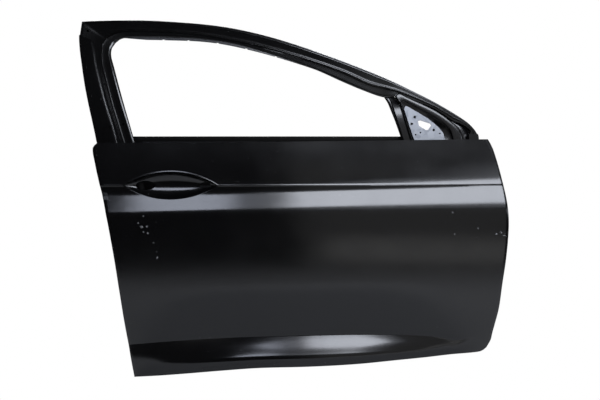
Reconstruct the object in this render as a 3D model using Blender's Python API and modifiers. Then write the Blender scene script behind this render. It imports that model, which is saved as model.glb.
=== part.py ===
# Front right-hand door shell of a saloon car: pressed steel, bare of all trim.
#
# Sizes are millimetres here and become metres as the vertices are made.
# +X points to the front of the car, +Z up, and the outside of the door faces -Y.
# The origin is the centre of the upper hinge's face on the front shut face.
# Outlines are lists of (x, z) points chosen by hand and joined by smooth curves.

import math

import bmesh
import bpy
from mathutils import Matrix, Vector

MM = 0.001

# Sheet thicknesses and clearances
skin_sheet = 0.8
inner_sheet = 0.8
frame_sheet = 1.0
bracket_sheet = 1.6
hinge_sheet = 2.5
seat = 0.35  # clearance where one piece lies on another
slant_room = 0.4  # added to it where sheets meet at a slant
deep_cut = 60.0  # lengths of the tools that punch holes
shallow_cut = 12.0
plate_corner = 6.0
hole_corner = 5.0
hem_height = 3.6  # outside height of the fold that holds the inner panel's flange
hem_width = 9.0
hem_bulge = 1.2

# Outer panel: its edges as x over z, or z over x
rear_edge_points = [(-562, -992), (-503, -1003), (-414, -1018.5), (-325, -1032), (-236, -1046),
                    (-147, -1063), (-100, -1074), (-58, -1086), (-13, -1099), (33, -1111), (79, -1120),
                    (93.5, -1109)]
front_edge_points = [(-481, -9), (-461, 2), (-439, 7), (-416, 13), (-371, 24), (-304, 33), (-237, 43),
                     (-170, 50), (-125, 52), (-80, 50), (-35, 45), (11, 37), (57, 26), (80, 19), (105, 7.5)]
bottom_edge_points = [(-992, -562), (-920, -558), (-842, -552), (-748, -544), (-642, -536), (-502, -531.5),
                      (-374, -524.5), (-258, -514), (-174, -506.5), (-107, -499.5), (-37, -494),
                      (-20, -490), (-9, -481)]
lower_crease_points = [(-1012, -473), (-920, -466), (-767, -458), (-503, -447), (-377, -444), (-252, -445),
                       (-168, -450), (-121, -456), (-93, -461), (-40, -450), (9, -430)]
belt_y = -42.0
bow_front = 24.0  # how far the front edge turns inboard in plan
bow_rear = 5.0
bow_centre = 0.45  # share of the length where the plan bow is widest
length_rear = -1100.0
length_front = 50.0
crease_z = -28.0

# Handle recess in the outer panel
recess_x = -895.5
recess_length = 268.0
recess_height = 79.0
recess_depth = 24.0
recess_cut = 100.0  # length of the tool that punches the recess floor
recess_columns = 12
recess_rows = 7
handle_hole = (-968.5, 55.0, 27.0)  # centre x, length, height
handle_pivot_hole = (-799.0, 33.0, 19.0)
handle_screw_back = 33.5  # behind the handle hole's centre
handle_screw_radius = 2.6

# Inner panel
inner_flange = 14.0
flange_gap = 1.35  # from the outer panel's outside face to the flange's near face
wall_near_y = -38.0  # where the shut faces start
wall_from_skin = 6.0  # and never nearer to the outer panel than this
wall_far_y = 22.0
main_wall_y = 46.0
rear_wall_points = [(-545, -976), (-220, -1031), (-40, -1073), (75, -1102)]
wall_draft = 2.0
wall_corner = 26.0
# The pan's wall steps in twice: its insets from the rear, the bottom and the front edge at each fold
wall_insets = [(0.0, 18.0, 0.0), (wall_draft, 22.0, 0.0), (18.0, 42.0, 16.0), (22.0, 47.0, 21.0),
               (28.0, 54.0, 27.0)]
wall_round = 2.0  # depth of the bends at either side of a step
press_round = 4.0
nose_setback = 4.0  # how far the front wall stays behind the flange near the bottom
nose_start = 50.0  # below the lower hinge's plate
shut_top_z = 75.0
main_top_z = 66.0
belt_bend_z = 96.0
belt_top_z = 115.0
belt_inner_y = 12.0

# Window frame: it lies on a barrel surface that starts at the belt
frame_base_z = 94.0
frame_base_y = -34.0
frame_slope = 0.19
frame_radius = 1000.0
lip_depth = 12.0
face_width = 8.0
groove_depth = 7.0
step_width = 2.5
ridge_width = 7.0
run_depth = 16.0  # depth of the glass run behind the frame's face
groove_floor = 6.0
ridge_drop = 0.5
box_depth = 38.0
box_span = 42.0  # where the frame is narrower than this, the box narrows with it
box_wall = 5.0
box_step = 6.0
hat_flange_y = 6.0
lip_clearance = 4.6  # from the outer sheet's edge to the inner sheet, along a row
inner_lip = 10.0  # how far the inner frame's lip shows in the window

# Rows of the frame from the rear foot round to the front foot:
# outer edge, inner edge of the ridge, window edge of the outer sheet
frame_rows = [
    ((-1094, 62), (-1028, 62), (-1000, 62)),
    ((-1108, 92), (-1033, 92), (-1003, 92)),
    ((-1114.5, 118), (-1041.5, 118), (-1011.5, 118)),
    ((-1124, 155), (-1054, 155), (-1023.5, 155.5)),
    ((-1139, 211), (-1074, 211), (-1041.5, 211)),
    ((-1153, 267), (-1091, 266), (-1058, 263)),
    ((-1166, 328), (-1109, 326), (-1075, 318)),
    ((-1176, 376), (-1115, 362), (-1087, 356)),
    ((-1182, 420), (-1115, 390), (-1086.5, 381)),
    ((-1184, 455), (-1107, 408), (-1078, 396)),
    ((-1160, 463.5), (-1091, 418.5), (-1067, 406)),
    ((-1112, 465.4), (-1069.5, 428.4), (-1054, 411.5)),
    ((-1055, 466.2), (-1040, 431.5), (-1035, 415)),
    ((-985, 465.5), (-985, 430.5), (-985, 416)),
    ((-905, 460.8), (-907, 427), (-910, 414)),
    ((-812.7, 452.6), (-820, 417.5), (-824, 409.3)),
    ((-725, 439), (-735, 402), (-739, 396.5)),
    ((-637, 417.5), (-650, 382), (-653, 373)),
    ((-552, 391), (-565, 357.5), (-568, 344)),
    ((-465, 359.5), (-478, 329), (-482, 311)),
    ((-385, 328.5), (-400, 300), (-404, 274.5)),
    ((-315, 299.5), (-330, 268.5), (-336, 250)),
    ((-270, 279.5), (-276, 258), (-280, 243.5)),
    ((-226, 257.5), (-236, 248), (-241, 243.5)),
    ((-155, 221), (-163, 211.5), (-166, 206)),
    ((-112, 196.4), (-120, 188), (-123.5, 183.5)),
    ((-78, 175), (-87, 167), (-91, 160.5)),
    ((-62, 164.5), (-67, 158), (-71, 153)),
    ((-44.7, 151), (-49.5, 146.5), (-53, 143.5)),
    ((-30, 135), (-35, 132), (-39, 129.5)),
    ((-21.5, 121.5), (-30, 121), (-44, 120.5)),
    ((-16.5, 110), (-27, 109), (-46, 108)),
    ((-20, 62), (-29, 62), (-48, 62)),
]
last_full_row = 22  # from here on the frame narrows over the sail and has no lip in the window
notch_x = (-934.0, -858.0, -769.0, -686.0, -601.0)
notch_width = 7.0
notch_height = 14.0
notch_lift = 2.0

# Division bar, by rows of z: window edge, rear and front edge of its face
bar_rows = [(238, -291, -277, -260), (211, -276, -264.5, -245.5), (160, -257, -250, -231),
            (111, -241, -236, -217.5), (62, -227, -222, -204), (0, -213, -205, -187), (-60, -200, -188, -170),
            (-140, -178, -165, -147), (-200, -162, -148, -130), (-225, -158, -142, -124)]
bar_depth = 14.4  # its window flange ends just in front of the frame's glass run
bar_leg = 9.8
bar_draft = 1.0
bar_foot_x = (-157.0, -143.0)
bar_foot_z = (-200.0, -224.0, -242.0)

# Sail dish: outer edge and inner edge of its band, from the top round by the front
sail_outer = [(-253, 231), (-247, 239), (-239, 239), (-215, 226), (-161, 201), (-124, 179.5), (-97, 158.5),
              (-74, 137), (-65.5, 120), (-62.5, 106), (-61, 88), (-108, 88), (-155, 88), (-206, 88),
              (-209, 95), (-215.7, 117), (-229, 164), (-240.5, 209)]
sail_inner = [(-240, 211.5), (-237, 216.5), (-230, 217.5), (-215.5, 211.5), (-161, 181.5), (-136, 166),
              (-115.5, 151), (-99.5, 134), (-93.5, 118), (-91, 104), (-89, 93), (-120, 93), (-160, 93),
              (-203, 93), (-206, 99), (-212.5, 119), (-226.5, 164), (-236.5, 203)]
sail_depth = 13.0
sail_wall = 2.0
sail_flange = [2, 3, 3, 9, 9, 9, 7, 4, 3, 3, 2, 2, 2, 2, 3, 3, 3, 3]  # width at each point of the outer edge
sail_flange_depth = 11.3
sail_middle = (-165.0, 140.0)
sail_opening = [(-194, 142), (-197, 162), (-186, 167), (-152, 156), (-147, 146), (-158, 127), (-170, 126)]
reinforcement = [(-222, 186), (-205, 188), (-160, 173), (-137, 153), (-122, 130), (-122, 108), (-150, 104),
                 (-198, 104), (-210, 128)]
mirror_plate = [(-229.5, 192), (-228.5, 198.5), (-225, 202), (-219, 200.5), (-192, 185), (-167, 169.5),
                (-147, 154.5), (-131, 139.5), (-118.5, 124), (-115, 110), (-115, 100), (-201, 100),
                (-205, 112), (-213, 136), (-219.5, 160)]
mirror_sheet = 3.0
cable_hole = [(-187.5, 144), (-191, 158.5), (-184, 161), (-155, 151.5), (-153, 146), (-162, 132.5),
              (-168, 132)]
mirror_bolts = [(-145.5, 132.5), (-209.0, 150.0), (-199.5, 170.0)]
mirror_bolt_radius = 4.0
mirror_pins = [(-184.0, 125.0), (-198.0, 118.5), (-128.5, 122.5)]
mirror_pin_radius = 2.4

# Cover plate on the B-pillar: position among the frame's rows, then its width from the frame's outer edge
pillar_plate_rows = [(0.73, 62), (1, 63), (2, 62), (3, 60), (4, 55), (5, 52), (6, 47), (7, 50), (7.8, 48),
                     (7.9, 44), (7.96, 38)]
pillar_sheet = 1.2
pillar_overhang = 2.5  # past the frame's outer edge
pillar_return = 3.0
pillar_plate_fold = 5.0
pillar_holes = [(-1075.6, 138.8)]
pillar_hole_radius = 3.2
frame_holes = [(-1161.0, 433.0, 3.5), (-1039.6, 149.4, 3.0)]

# Side impact beam
beam_radius = 15.0
beam_wall = 2.2
beam_front = (-32.0, -84.0, -153.0)
beam_rear = (-998.0, -92.0, -318.0)
beam_bow = 8.0
bracket_grip = 75.0  # degrees of the trough either side of the beam's inboard line
bracket_spread = 27.0
bracket_back_y = -52.0
bracket_leg_y = (-30.0, 0.0)
front_bracket_x = (-95.0, -45.0, -12.0)
rear_bracket_x = (-930.0, -985.0, -1002.0)
beam_segments = 14
pad_x = (-230.0, -410.0, -600.0, -800.0)
pad_length = 44.0
pad_height = 24.0

# Hinges, check strap and latch
hinge_spacing = 336.0
hinge_middle_z = -168.0
hinge_bolt_offset = 26.0
hinge_bolt_radius = 6.0
hinge_thread_radius = 5.0
hinge_plate_height = 76.0
hinge_plate_width = 40.0
hinge_boss_radius = 10.0
hinge_boss_height = 8.0
hinge_boss_root = 0.5  # how far a boss reaches into its plate
hinge_y = 0.0
check_strap_rise = 100.0  # above the lower hinge
check_strap_size = (22.0, 30.0)
check_plate_size = (40.0, 52.0)
grommet_drop = 76.0  # below the upper hinge
grommet_radius = 16.0
latch_z = -122.0
latch_y = -9.0
latch_size = (24.0, 46.0)
latch_plate_size = (50.0, 96.0)
latch_bolts = [(-15.0, 34.0), (-15.0, -34.0), (16.0, -8.0)]
latch_bolt_radius = 4.2

# Openings in the inner panel's main wall, as (x, z)
service_opening = [(-868, -28), (-520, -22), (-372, -62), (-338, -190), (-400, -330), (-470, -408),
                   (-850, -420)]
service_radius = 34.0
service_land = 14.0  # flat rim round the opening
press_slope = 6.0
speaker_centre = (-192.0, -335.0)
speaker_radius = 80.0
speaker_rim = 17.0
press_depth = 6.0
bead_slope = 4.0
latch_access = [(-1002, -92), (-952, -92), (-952, -186), (-990, -186)]
hinge_access = [(-92, -34), (-58, -34), (-58, -104), (-92, -104)]
access_radius = 12.0
bead_lines = [((-1025, 34), (-78, 34), 11.0), ((-925, -470), (-420, -456), 9.0),
              ((-945, -245), (-925, -420), 8.0)]
clip_holes = [(-1026, -16), (-985, -222), (-966, -330), (-945, -452), (-330, -448), (-60, -210),
              (-62, -395), (-60, 5)]
clip_radius = 4.5
drain_x = (-880.0, -560.0, -240.0)
drain_size = (26.0, 8.0)
drain_back = 24.0  # from the wall's start

# Glass channel behind the B-pillar
channel_top = (-1012.0, 58.0)
channel_end = (-938.0, -200.0)
channel_near = 3.0
channel_far = 17.0
channel_side = 11.0
channel_foot_x = (-914.0, -944.0, -931.0)
channel_foot_z = (-198.0, -176.0)

# Belt rails
belt_rail_rear = -985.0
belt_rail_front = -112.0
outer_rail_depth = 9.0
outer_rail_drops = (2.0, 14.0, 17.5, 46.0, 50.0, 62.0)  # down from the belt, at each fold
inner_rail_depth = 10.0
inner_rail_drop = 3.0  # from the belt strip's top
inner_rail_bend = 4.0
inner_rail_face = 12.0
inner_rail_foot = 8.0

# Bracket behind the handle recess
handle_bracket_y = -48.8
handle_bracket_front = -772.0
handle_bracket_rear = -1020.0
handle_bracket_ramp = 12.0
handle_bracket_leg_y = (-34.0, -8.0)
handle_bracket_height = 46.0
handle_bracket_room = 2.0  # how much larger its openings are than the panel's

# Plate on the frame's front foot
corner_plate = (-45.0, -19.0, 96.0, 120.5)


def lerp(a, b, t):
    return a + (b - a) * t


def spline(points):
    # A smooth function through (q, value) points whose q rises, straight beyond its ends
    last = len(points) - 1

    def slope(i):
        before, after = points[max(i - 1, 0)], points[min(i + 1, last)]
        return (after[1] - before[1]) / (after[0] - before[0])

    def value(q):
        if q <= points[0][0]:
            return points[0][1] + slope(0) * (q - points[0][0])
        if q >= points[last][0]:
            return points[last][1] + slope(last) * (q - points[last][0])
        i = next(k for k in range(last) if q <= points[k + 1][0])
        step = points[i + 1][0] - points[i][0]
        t = (q - points[i][0]) / step
        rise = points[i + 1][1] - points[i][1]
        bend = slope(i) * (1 - t) * step + slope(i + 1) * -t * step + rise * (2 * t - 1)
        return points[i][1] + rise * t + t * (1 - t) * bend

    return value


def across(values, s):
    # Values at equal shares of the door's length, read smoothly at share s
    last = len(values) - 1
    return spline([(i / last, v) for i, v in enumerate(values)])(s)


rear_edge = spline(rear_edge_points)
front_edge = spline(front_edge_points)
bottom_edge = spline(bottom_edge_points)
lower_crease = spline(lower_crease_points)
rear_wall = spline(rear_wall_points)
wall_lean = wall_draft / (wall_far_y - wall_near_y)
upper_hinge_z = hinge_middle_z + hinge_spacing / 2
lower_hinge_z = hinge_middle_z - hinge_spacing / 2
check_strap_z = lower_hinge_z + check_strap_rise
grommet_z = upper_hinge_z - grommet_drop


def plan_bow(x):
    s = (x - length_rear) / (length_front - length_rear)
    if s > bow_centre:
        return bow_front * ((s - bow_centre) / (1 - bow_centre)) ** 2
    return bow_rear * ((bow_centre - s) / bow_centre) ** 2


def frame_y(x, z, depth=0.0):
    rise = z - frame_base_z
    return frame_base_y + plan_bow(x) + frame_slope * rise + rise * rise / (2 * frame_radius) + depth


# The outer panel is described by feature rows from the belt to the bottom edge.
# A row holds its height at equal shares of the length, then how many degrees the surface
# looks up just above it and just below it. The lowest rows lie between two curves of z over
# x, the lower crease and the bottom edge, at a share of the way down.
class Row:
    def __init__(self, heights, above, below=None, share=None):
        self.heights = heights
        self.share = share
        self.above = above
        self.below = below or above

    def z(self, s):
        if self.share is None:
            return across(self.heights, s)
        x = lerp(rear_edge(self.heights[0]), front_edge(self.heights[1]), s)
        return lerp(lower_crease(x), bottom_edge(x), self.share)


skin_rows = [
    Row((93.5, 97.3, 105.0), (21, 20, 19)),
    Row((79.0, 81.0, 84.0), (17, 17, 16)),
    Row((35.0, 37.0, 39.0), (15, 16, 17)),
    Row((-8.0, -8.0, -6.0), (14, 15, 21)),
    Row((crease_z, crease_z, crease_z), (14, 15, 28), (-4, 0, 26)),
    Row((-57.0, -46.0, -36.0), (28, 29, 30)),
    Row((-99.0, -88.0, -74.0), (30, 28, 27)),
    Row((-114.0, -106.0, -100.0), (12, 11, 13)),
    Row((-165.0, -165.0, -165.0), (4, 3, 3)),
    Row((-300.0, -300.0, -300.0), (-2, -2, -2)),
    Row((-473.0, -430.0), (-8, -9, -9, -9, -7), (5, 14, 24, 20, -7), 0.0),
    Row((-497.0, -444.0), (6, 15, 25, 21, -7), None, 0.27),
    Row((-521.0, -457.0), (1, 3, 7, 5, -8), None, 0.52),
    Row((-541.0, -469.0), (-4, -5, -5, -6, -9), None, 0.76),
    Row((-562.0, -481.0), (-4, -6, -7, -8, -9), None, 1.0),
]
row_counts = [1, 2, 2, 1, 2, 3, 1, 2, 3, 3, 2, 1, 1, 1]
crease_row = next(i for i, row in enumerate(skin_rows) if row.below is not row.above)
recess_foot_row = crease_row + 4


def skin_y(x, z):
    rear, front = rear_edge(z), front_edge(z)
    s = min(max((x - rear) / (front - rear), 0.0), 1.0)
    y = belt_y + plan_bow(x)
    for upper, lower in zip(skin_rows, skin_rows[1:]):
        top, foot = upper.z(s), lower.z(s)
        if z >= top or foot >= top:
            continue
        t = min((top - z) / (top - foot), 1.0)
        start = math.tan(math.radians(across(upper.below, s)))
        end = math.tan(math.radians(across(lower.above, s)))
        y -= (top - foot) * t * (start + (end - start) * t / 2)
    return y


def recess_half_height(x):
    # The recess is the lens between two equal arcs through its tips
    half, rise = recess_length / 2, recess_height / 2
    if abs(x - recess_x) >= half:
        return 0.0
    radius = (half * half + rise * rise) / (2 * rise)
    return math.sqrt(radius**2 - (x - recess_x) ** 2) - (radius - rise)


def recess_sink(x, f):
    # Depth of the recess at share f of its height
    along = (x - recess_x) / (recess_length / 2)
    return recess_depth * max(1 - along * along, 0.0) ** 0.6 * (1 - abs(2 * f - 1) ** 2.2)


# Making objects

def start_scene():
    for obj in list(bpy.data.objects):
        bpy.data.objects.remove(obj)
    made = []
    for name in ("door_shell", "door_cutters"):
        collection = bpy.data.collections.new(name)
        bpy.context.scene.collection.children.link(collection)
        made.append(collection)
    made[1].hide_render = True
    return made


def metal(name, colour, roughness, metallic=0.0):
    material = bpy.data.materials.new(name)
    material.use_nodes = True
    shader = material.node_tree.nodes["Principled BSDF"]
    shader.inputs["Base Color"].default_value = (*colour, 1)
    shader.inputs["Roughness"].default_value = roughness
    shader.inputs["Metallic"].default_value = metallic
    return material


door, cutters = start_scene()
black_primer = metal("black_primer", (0.012, 0.012, 0.013), 0.3)
galvanised = metal("galvanised_steel", (0.55, 0.57, 0.58), 0.45, 0.8)
mastic = metal("mastic", (0.03, 0.03, 0.032), 0.8)
smooth_below = math.radians(32)


def add_object(name, mesh, material=None):
    obj = bpy.data.objects.new(name, mesh)
    if material is None:
        cutters.objects.link(obj)
        obj.hide_render = True
        obj.display_type = "WIRE"
        return obj
    door.objects.link(obj)
    mesh.materials.clear()
    mesh.materials.append(material)
    mesh.shade_smooth()
    mesh.set_sharp_from_angle(angle=smooth_below)
    return obj


def mesh_of(name, shape):
    mesh = bpy.data.meshes.new(name)
    shape.to_mesh(mesh)
    shape.free()
    return mesh


def vertex(shape, point):
    return shape.verts.new(Vector(point) * MM)


def bridge(shape, ring, other, closed=False):
    # Faces between two equally long rows of vertices, leaving out those that collapse
    count = len(ring)
    for i in range(count if closed else count - 1):
        k = (i + 1) % count
        corners = [ring[i], ring[k], other[k], other[i]]
        unique = list(dict.fromkeys(corners))
        if len(unique) > 2:
            shape.faces.new(unique)


def fill(shape, loops):
    # Triangles between an outer loop of vertices and the loops inside it
    edges = []
    for loop in loops:
        for a, b in zip(loop, loop[1:] + loop[:1]):
            edges.append(shape.edges.get((a, b)) or shape.edges.new((a, b)))
    bmesh.ops.triangle_fill(shape, edges=edges, use_beauty=True)


def sheet(name, shape, facing, thickness, material=black_primer, outwards=False):
    # An open surface turned to one side and given its thickness away from that side
    bmesh.ops.recalc_face_normals(shape, faces=shape.faces)
    shape.normal_update()
    if sum(face.normal.dot(facing) * face.calc_area() for face in shape.faces) < 0:
        bmesh.ops.reverse_faces(shape, faces=shape.faces)
    obj = add_object(name, mesh_of(name, shape), material)
    solid = obj.modifiers.new("thickness", "SOLIDIFY")
    solid.thickness = thickness * MM
    solid.offset = 1.0 if outwards else -1.0
    solid.use_even_offset = True
    return obj


def combine(obj, other, operation="DIFFERENCE"):
    boolean = obj.modifiers.new(other.name, "BOOLEAN")
    boolean.operation = operation
    boolean.object = other
    return obj


# Placements that turn a flat outline's (u, v) and its normal into the door's directions
def facing_side(y):
    return Matrix.Translation((0, y * MM, 0)) @ Matrix.Rotation(math.radians(90), 4, "X")


def facing_front(x):
    turned = Matrix(((0, 0, 1, 0), (1, 0, 0, 0), (0, 1, 0, 0), (0, 0, 0, 1)))
    return Matrix.Translation((x * MM, 0, 0)) @ turned


def facing_up(z):
    return Matrix.Translation((0, 0, z * MM))


def flat_mesh(name, loops, thickness, place):
    # A flat piece from its outline and the holes in it, centred on the plane of its placement
    curve = bpy.data.curves.new(name, "CURVE")
    curve.dimensions = "2D"
    curve.fill_mode = "BOTH"
    curve.extrude = thickness / 2 * MM
    for loop in loops:
        line = curve.splines.new("POLY")
        line.points.add(len(loop) - 1)
        for point, (u, v) in zip(line.points, loop):
            point.co = (u * MM, v * MM, 0, 1)
        line.use_cyclic_u = True
    helper = bpy.data.objects.new(name + "_outline", curve)
    bpy.context.scene.collection.objects.link(helper)
    helper.matrix_world = place
    bpy.context.view_layer.update()
    evaluated = helper.evaluated_get(bpy.context.evaluated_depsgraph_get())
    mesh = bpy.data.meshes.new_from_object(evaluated)
    mesh.transform(place)
    bpy.data.objects.remove(helper)
    shape = bmesh.new()
    shape.from_mesh(mesh)
    bmesh.ops.remove_doubles(shape, verts=shape.verts, dist=1e-6)
    bmesh.ops.recalc_face_normals(shape, faces=shape.faces)
    shape.to_mesh(mesh)
    shape.free()
    mesh.name = name
    return mesh


def punch(obj, name, loops, place, length=deep_cut):
    # Cuts each flat outline straight through a sheet
    for number, loop in enumerate(loops, 1):
        tool = add_object(f"{name}_{number}_cutter", flat_mesh(name, [loop], length, place))
        combine(obj, tool)


def oval(centre, length, height, segments=20):
    turn = 2 * math.pi / segments
    return [(centre[0] + math.cos(turn * i) * length / 2, centre[1] + math.sin(turn * i) * height / 2)
            for i in range(segments)]


def circle(centre, radius, segments=12):
    return oval(centre, 2 * radius, 2 * radius, segments)


def rectangle(centre, width, height):
    u, v = centre
    return [(u - width / 2, v - height / 2), (u + width / 2, v - height / 2),
            (u + width / 2, v + height / 2), (u - width / 2, v + height / 2)]


def rounded(corners, radius, inset=0.0, steps=4):
    # A polygon moved inwards by inset, with each corner turned into an arc
    count = len(corners)
    area = sum(a[0] * b[1] - b[0] * a[1] for a, b in zip(corners, corners[1:] + corners[:1]))
    side = 1 if area > 0 else -1
    points = []
    for i in range(count):
        before, here, after = Vector(corners[i - 1]), Vector(corners[i]), Vector(corners[(i + 1) % count])
        come, go = (here - before).normalized(), (after - here).normalized()
        inward = (Vector((-come.y, come.x)) + Vector((-go.y, go.x))) * side
        half = math.acos(max(-1.0, min(1.0, come.dot(go)))) / 2
        corner = here + inward.normalized() * inset / math.cos(half)
        convex = come.cross(go) * side > 0
        bend = max(radius - inset, 0.5) if convex else radius + inset
        reach = bend * math.tan(half)
        start, end = corner - come * reach, corner + go * reach
        for k in range(steps + 1):
            t = k / steps
            points.append(tuple(start * (1 - t) ** 2 + corner * 2 * t * (1 - t) + end * t * t))
    return points


def capsule(start, end, radius, steps=5):
    a, b = Vector(start), Vector(end)
    along = (b - a).normalized()
    aside = Vector((-along.y, along.x))
    points = []
    for centre, sign in ((b, 1), (a, -1)):
        for k in range(steps + 1):
            turn = math.pi * (k / steps - 0.5)
            points.append(tuple(centre + (along * math.cos(turn) + aside * math.sin(turn)) * radius * sign))
    return points


def sweep(name, rows, facing, thickness, closed=False, material=black_primer, outwards=False):
    # A sheet through rows of points, each row one section of it
    shape = bmesh.new()
    lines = [[vertex(shape, point) for point in row] for row in rows]
    for line, following in zip(lines, lines[1:]):
        bridge(shape, line, following, closed)
    return sheet(name, shape, facing, thickness, material, outwards)


outboard = Vector((0, -1, 0))


# Outer panel

def skin_columns():
    # Shares of the length: some behind the recess, its own, then the long plain stretch
    crease_rear, crease_front = rear_edge(crease_z), front_edge(crease_z)
    tips = [(recess_x + side * recess_length / 2 - crease_rear) / (crease_front - crease_rear)
            for side in (-1, 1)]
    rear = [0.0, tips[0] * 0.5]
    middle = []
    for i in range(recess_columns + 1):
        ease = (1 - math.cos(math.pi * i / recess_columns)) / 2
        middle.append(lerp(tips[0], tips[1], lerp(i / recess_columns, ease, 0.5)))
    plain = 11
    front = [lerp(tips[1], 0.975, i / plain) for i in range(1, plain + 1)]
    return rear + middle + front + [1.0]


def skin_lines():
    # (row number, share on the way to the next row) for each line of the grid
    lines = []
    for number, count in enumerate(row_counts):
        lines += [(number, k / count) for k in range(count)]
    return lines + [(len(skin_rows) - 1, 0.0)]


def line_height(line, s):
    number, share = line
    z = skin_rows[number].z(s)
    return lerp(z, skin_rows[number + 1].z(s), share) if share else z


def skin_point(line, s, below):
    # Lines next to the recess bend round its rim, above it or below it
    x = lerp(rear_edge(line_height(line, 0.0)), front_edge(line_height(line, 1.0)), s)
    z = line_height(line, s)
    crease_x = lerp(rear_edge(crease_z), front_edge(crease_z), s)
    half = recess_half_height(crease_x)
    if half and not below:
        top = skin_rows[0].z(s)
        z = top - (top - z) * (top - crease_z - half) / (top - crease_z)
        x = lerp(crease_x, x, (z - crease_z - half) / (top - crease_z - half))
    if half and below and line[0] < recess_foot_row:
        foot = skin_rows[recess_foot_row].z(s)
        z = foot + (z - foot) * (crease_z - half - foot) / (crease_z - foot)
        x = lerp(crease_x, x, (crease_z - half - z) / (crease_z - half - foot))
    return (x, skin_y(x, z), z)


def edge_normals(loop):
    # Outward directions, in the XZ plane, of a closed clockwise loop seen from outside
    count = len(loop)
    normals = []
    for i in range(count):
        before, here, after = loop[i - 1], loop[i], loop[(i + 1) % count]
        come = Vector((here[0] - before[0], here[2] - before[2])).normalized()
        go = Vector((after[0] - here[0], after[2] - here[2])).normalized()
        a, b = Vector((-come.y, come.x)), Vector((-go.y, go.x))
        mid = (a + b).normalized()
        normals.append(mid / max(mid.dot(a), 0.6))
    return normals


def square_off(n):
    # Along the sides a flange's points keep the height of the panel's rows, and below it their columns
    if abs(n.x) > 2.5 * abs(n.y):
        return Vector((1 / n.x, 0))
    if abs(n.y) > 2.5 * abs(n.x):
        return Vector((0, 1 / n.y))
    return n


def skin_grid():
    lines, columns = skin_lines(), skin_columns()
    first_below = sum(row_counts[:crease_row])
    upper = [[skin_point(line, s, False) for s in columns] for line in lines[:first_below + 1]]
    lower = [[skin_point(line, s, True) for s in columns] for line in lines[first_below:]]
    return upper, lower


def skin_border(upper, lower):
    # The panel's edge once round: belt, front, bottom, rear
    grid = upper + lower[1:]
    front = [row[-1] for row in grid[1:]]
    rear = [row[0] for row in grid[1:-1]]
    return grid[0] + front + grid[-1][-2::-1] + rear[::-1]


def make_outer_panel():
    upper, lower = skin_grid()
    shape = bmesh.new()
    tip_rear, tip_front = 2, 2 + recess_columns
    upper_rows = [[vertex(shape, point) for point in row] for row in upper]
    rim = upper_rows[-1]
    lower_rows = [[vertex(shape, point) if row > 0 or tip_rear < i < tip_front else rim[i]
                   for i, point in enumerate(points)] for row, points in enumerate(lower)]
    for rows in (upper_rows, lower_rows):
        for line, following in zip(rows, rows[1:]):
            bridge(shape, line, following)
    bowl = [lower_rows[0][tip_rear:tip_front + 1]]
    for k in range(1, recess_rows):
        f = (1 - math.cos(math.pi * k / recess_rows)) / 2
        ring = [rim[tip_rear]]
        for i in range(tip_rear + 1, tip_front):
            low, high = Vector(lower[0][i]), Vector(upper[-1][i])
            point = low.lerp(high, f)
            point.y += recess_sink(point.x, f)
            ring.append(vertex(shape, point))
        bowl.append(ring + [rim[tip_front]])
    bowl.append(rim[tip_rear:tip_front + 1])
    for line, following in zip(bowl, bowl[1:]):
        bridge(shape, line, following)
    border = skin_border(upper, lower)
    grid_rows = upper_rows + lower_rows[1:]
    ring = grid_rows[0] + [row[-1] for row in grid_rows[1:]] + grid_rows[-1][-2::-1]
    ring += [row[0] for row in grid_rows[1:-1]][::-1]
    normals = edge_normals(border)
    hem = ((hem_bulge, hem_height / 2, 0), (0, hem_height, 0), (0, hem_height, hem_width))
    for bulge, back, inset in hem:
        following = []
        for (x, y, z), n in zip(border, normals):
            aside = square_off(n) if inset else n
            away = bulge - inset
            px, pz = x + aside.x * away, z + aside.y * away
            py = (skin_y(px, pz) if inset else y) + back
            following.append(vertex(shape, (px, py, pz)))
        bridge(shape, ring, following, closed=True)
        ring = following
    panel = sheet("outer_panel", shape, outboard, skin_sheet)
    openings = [oval((handle_hole[0], crease_z), *handle_hole[1:]),
                oval((handle_pivot_hole[0], crease_z), *handle_pivot_hole[1:]),
                circle((handle_hole[0] - handle_screw_back, crease_z), handle_screw_radius, 8)]
    punch(panel, "handle_opening", openings, facing_side(belt_y), recess_cut)
    return panel


# Inner panel

def path_length(path):
    lengths = [0.0]
    for a, b in zip(path, path[1:]):
        lengths.append(lengths[-1] + math.dist(a, b))
    return lengths


def resample(path, shares):
    # Points at given shares of a path's length
    lengths = path_length(path)
    points = []
    for share in shares:
        target = share * lengths[-1]
        i = next((k for k in range(len(path) - 1) if target <= lengths[k + 1]), len(path) - 2)
        step = lengths[i + 1] - lengths[i]
        t = (target - lengths[i]) / step if step else 0.0
        points.append(tuple(lerp(a, b, t) for a, b in zip(path[i], path[i + 1])))
    return points


def cut_back(path, distance):
    # A path without the last stretch before its end
    lengths = path_length(path)
    keep = 1 - distance / lengths[-1]
    shares = [length / lengths[-1] for length in lengths if length / lengths[-1] < keep]
    return resample(path, shares + [keep])


def round_corner(path, following, radius):
    # Two paths that meet in a corner, joined by an arc that starts radius before it
    corner = path[-1]
    first, second = cut_back(path, radius), cut_back(following[::-1], radius)[::-1]
    arc = []
    for k in range(1, 5):
        t = k / 5
        weights = ((1 - t) ** 2, 2 * t * (1 - t), t * t)
        ends = (first[-1], corner, second[0])
        arc.append(tuple(sum(w * p[i] for w, p in zip(weights, ends)) for i in (0, 1)))
    return first + arc + second


def front_wall(z, inset):
    # The hinge face stands at x = 0 and follows the front edge only below the hinges
    if z > lower_hinge_z - hinge_plate_height / 2 - nose_start:
        return -inner_sheet - inset
    return min(-inner_sheet, front_edge(z) - inner_flange - nose_setback) - inset


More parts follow.
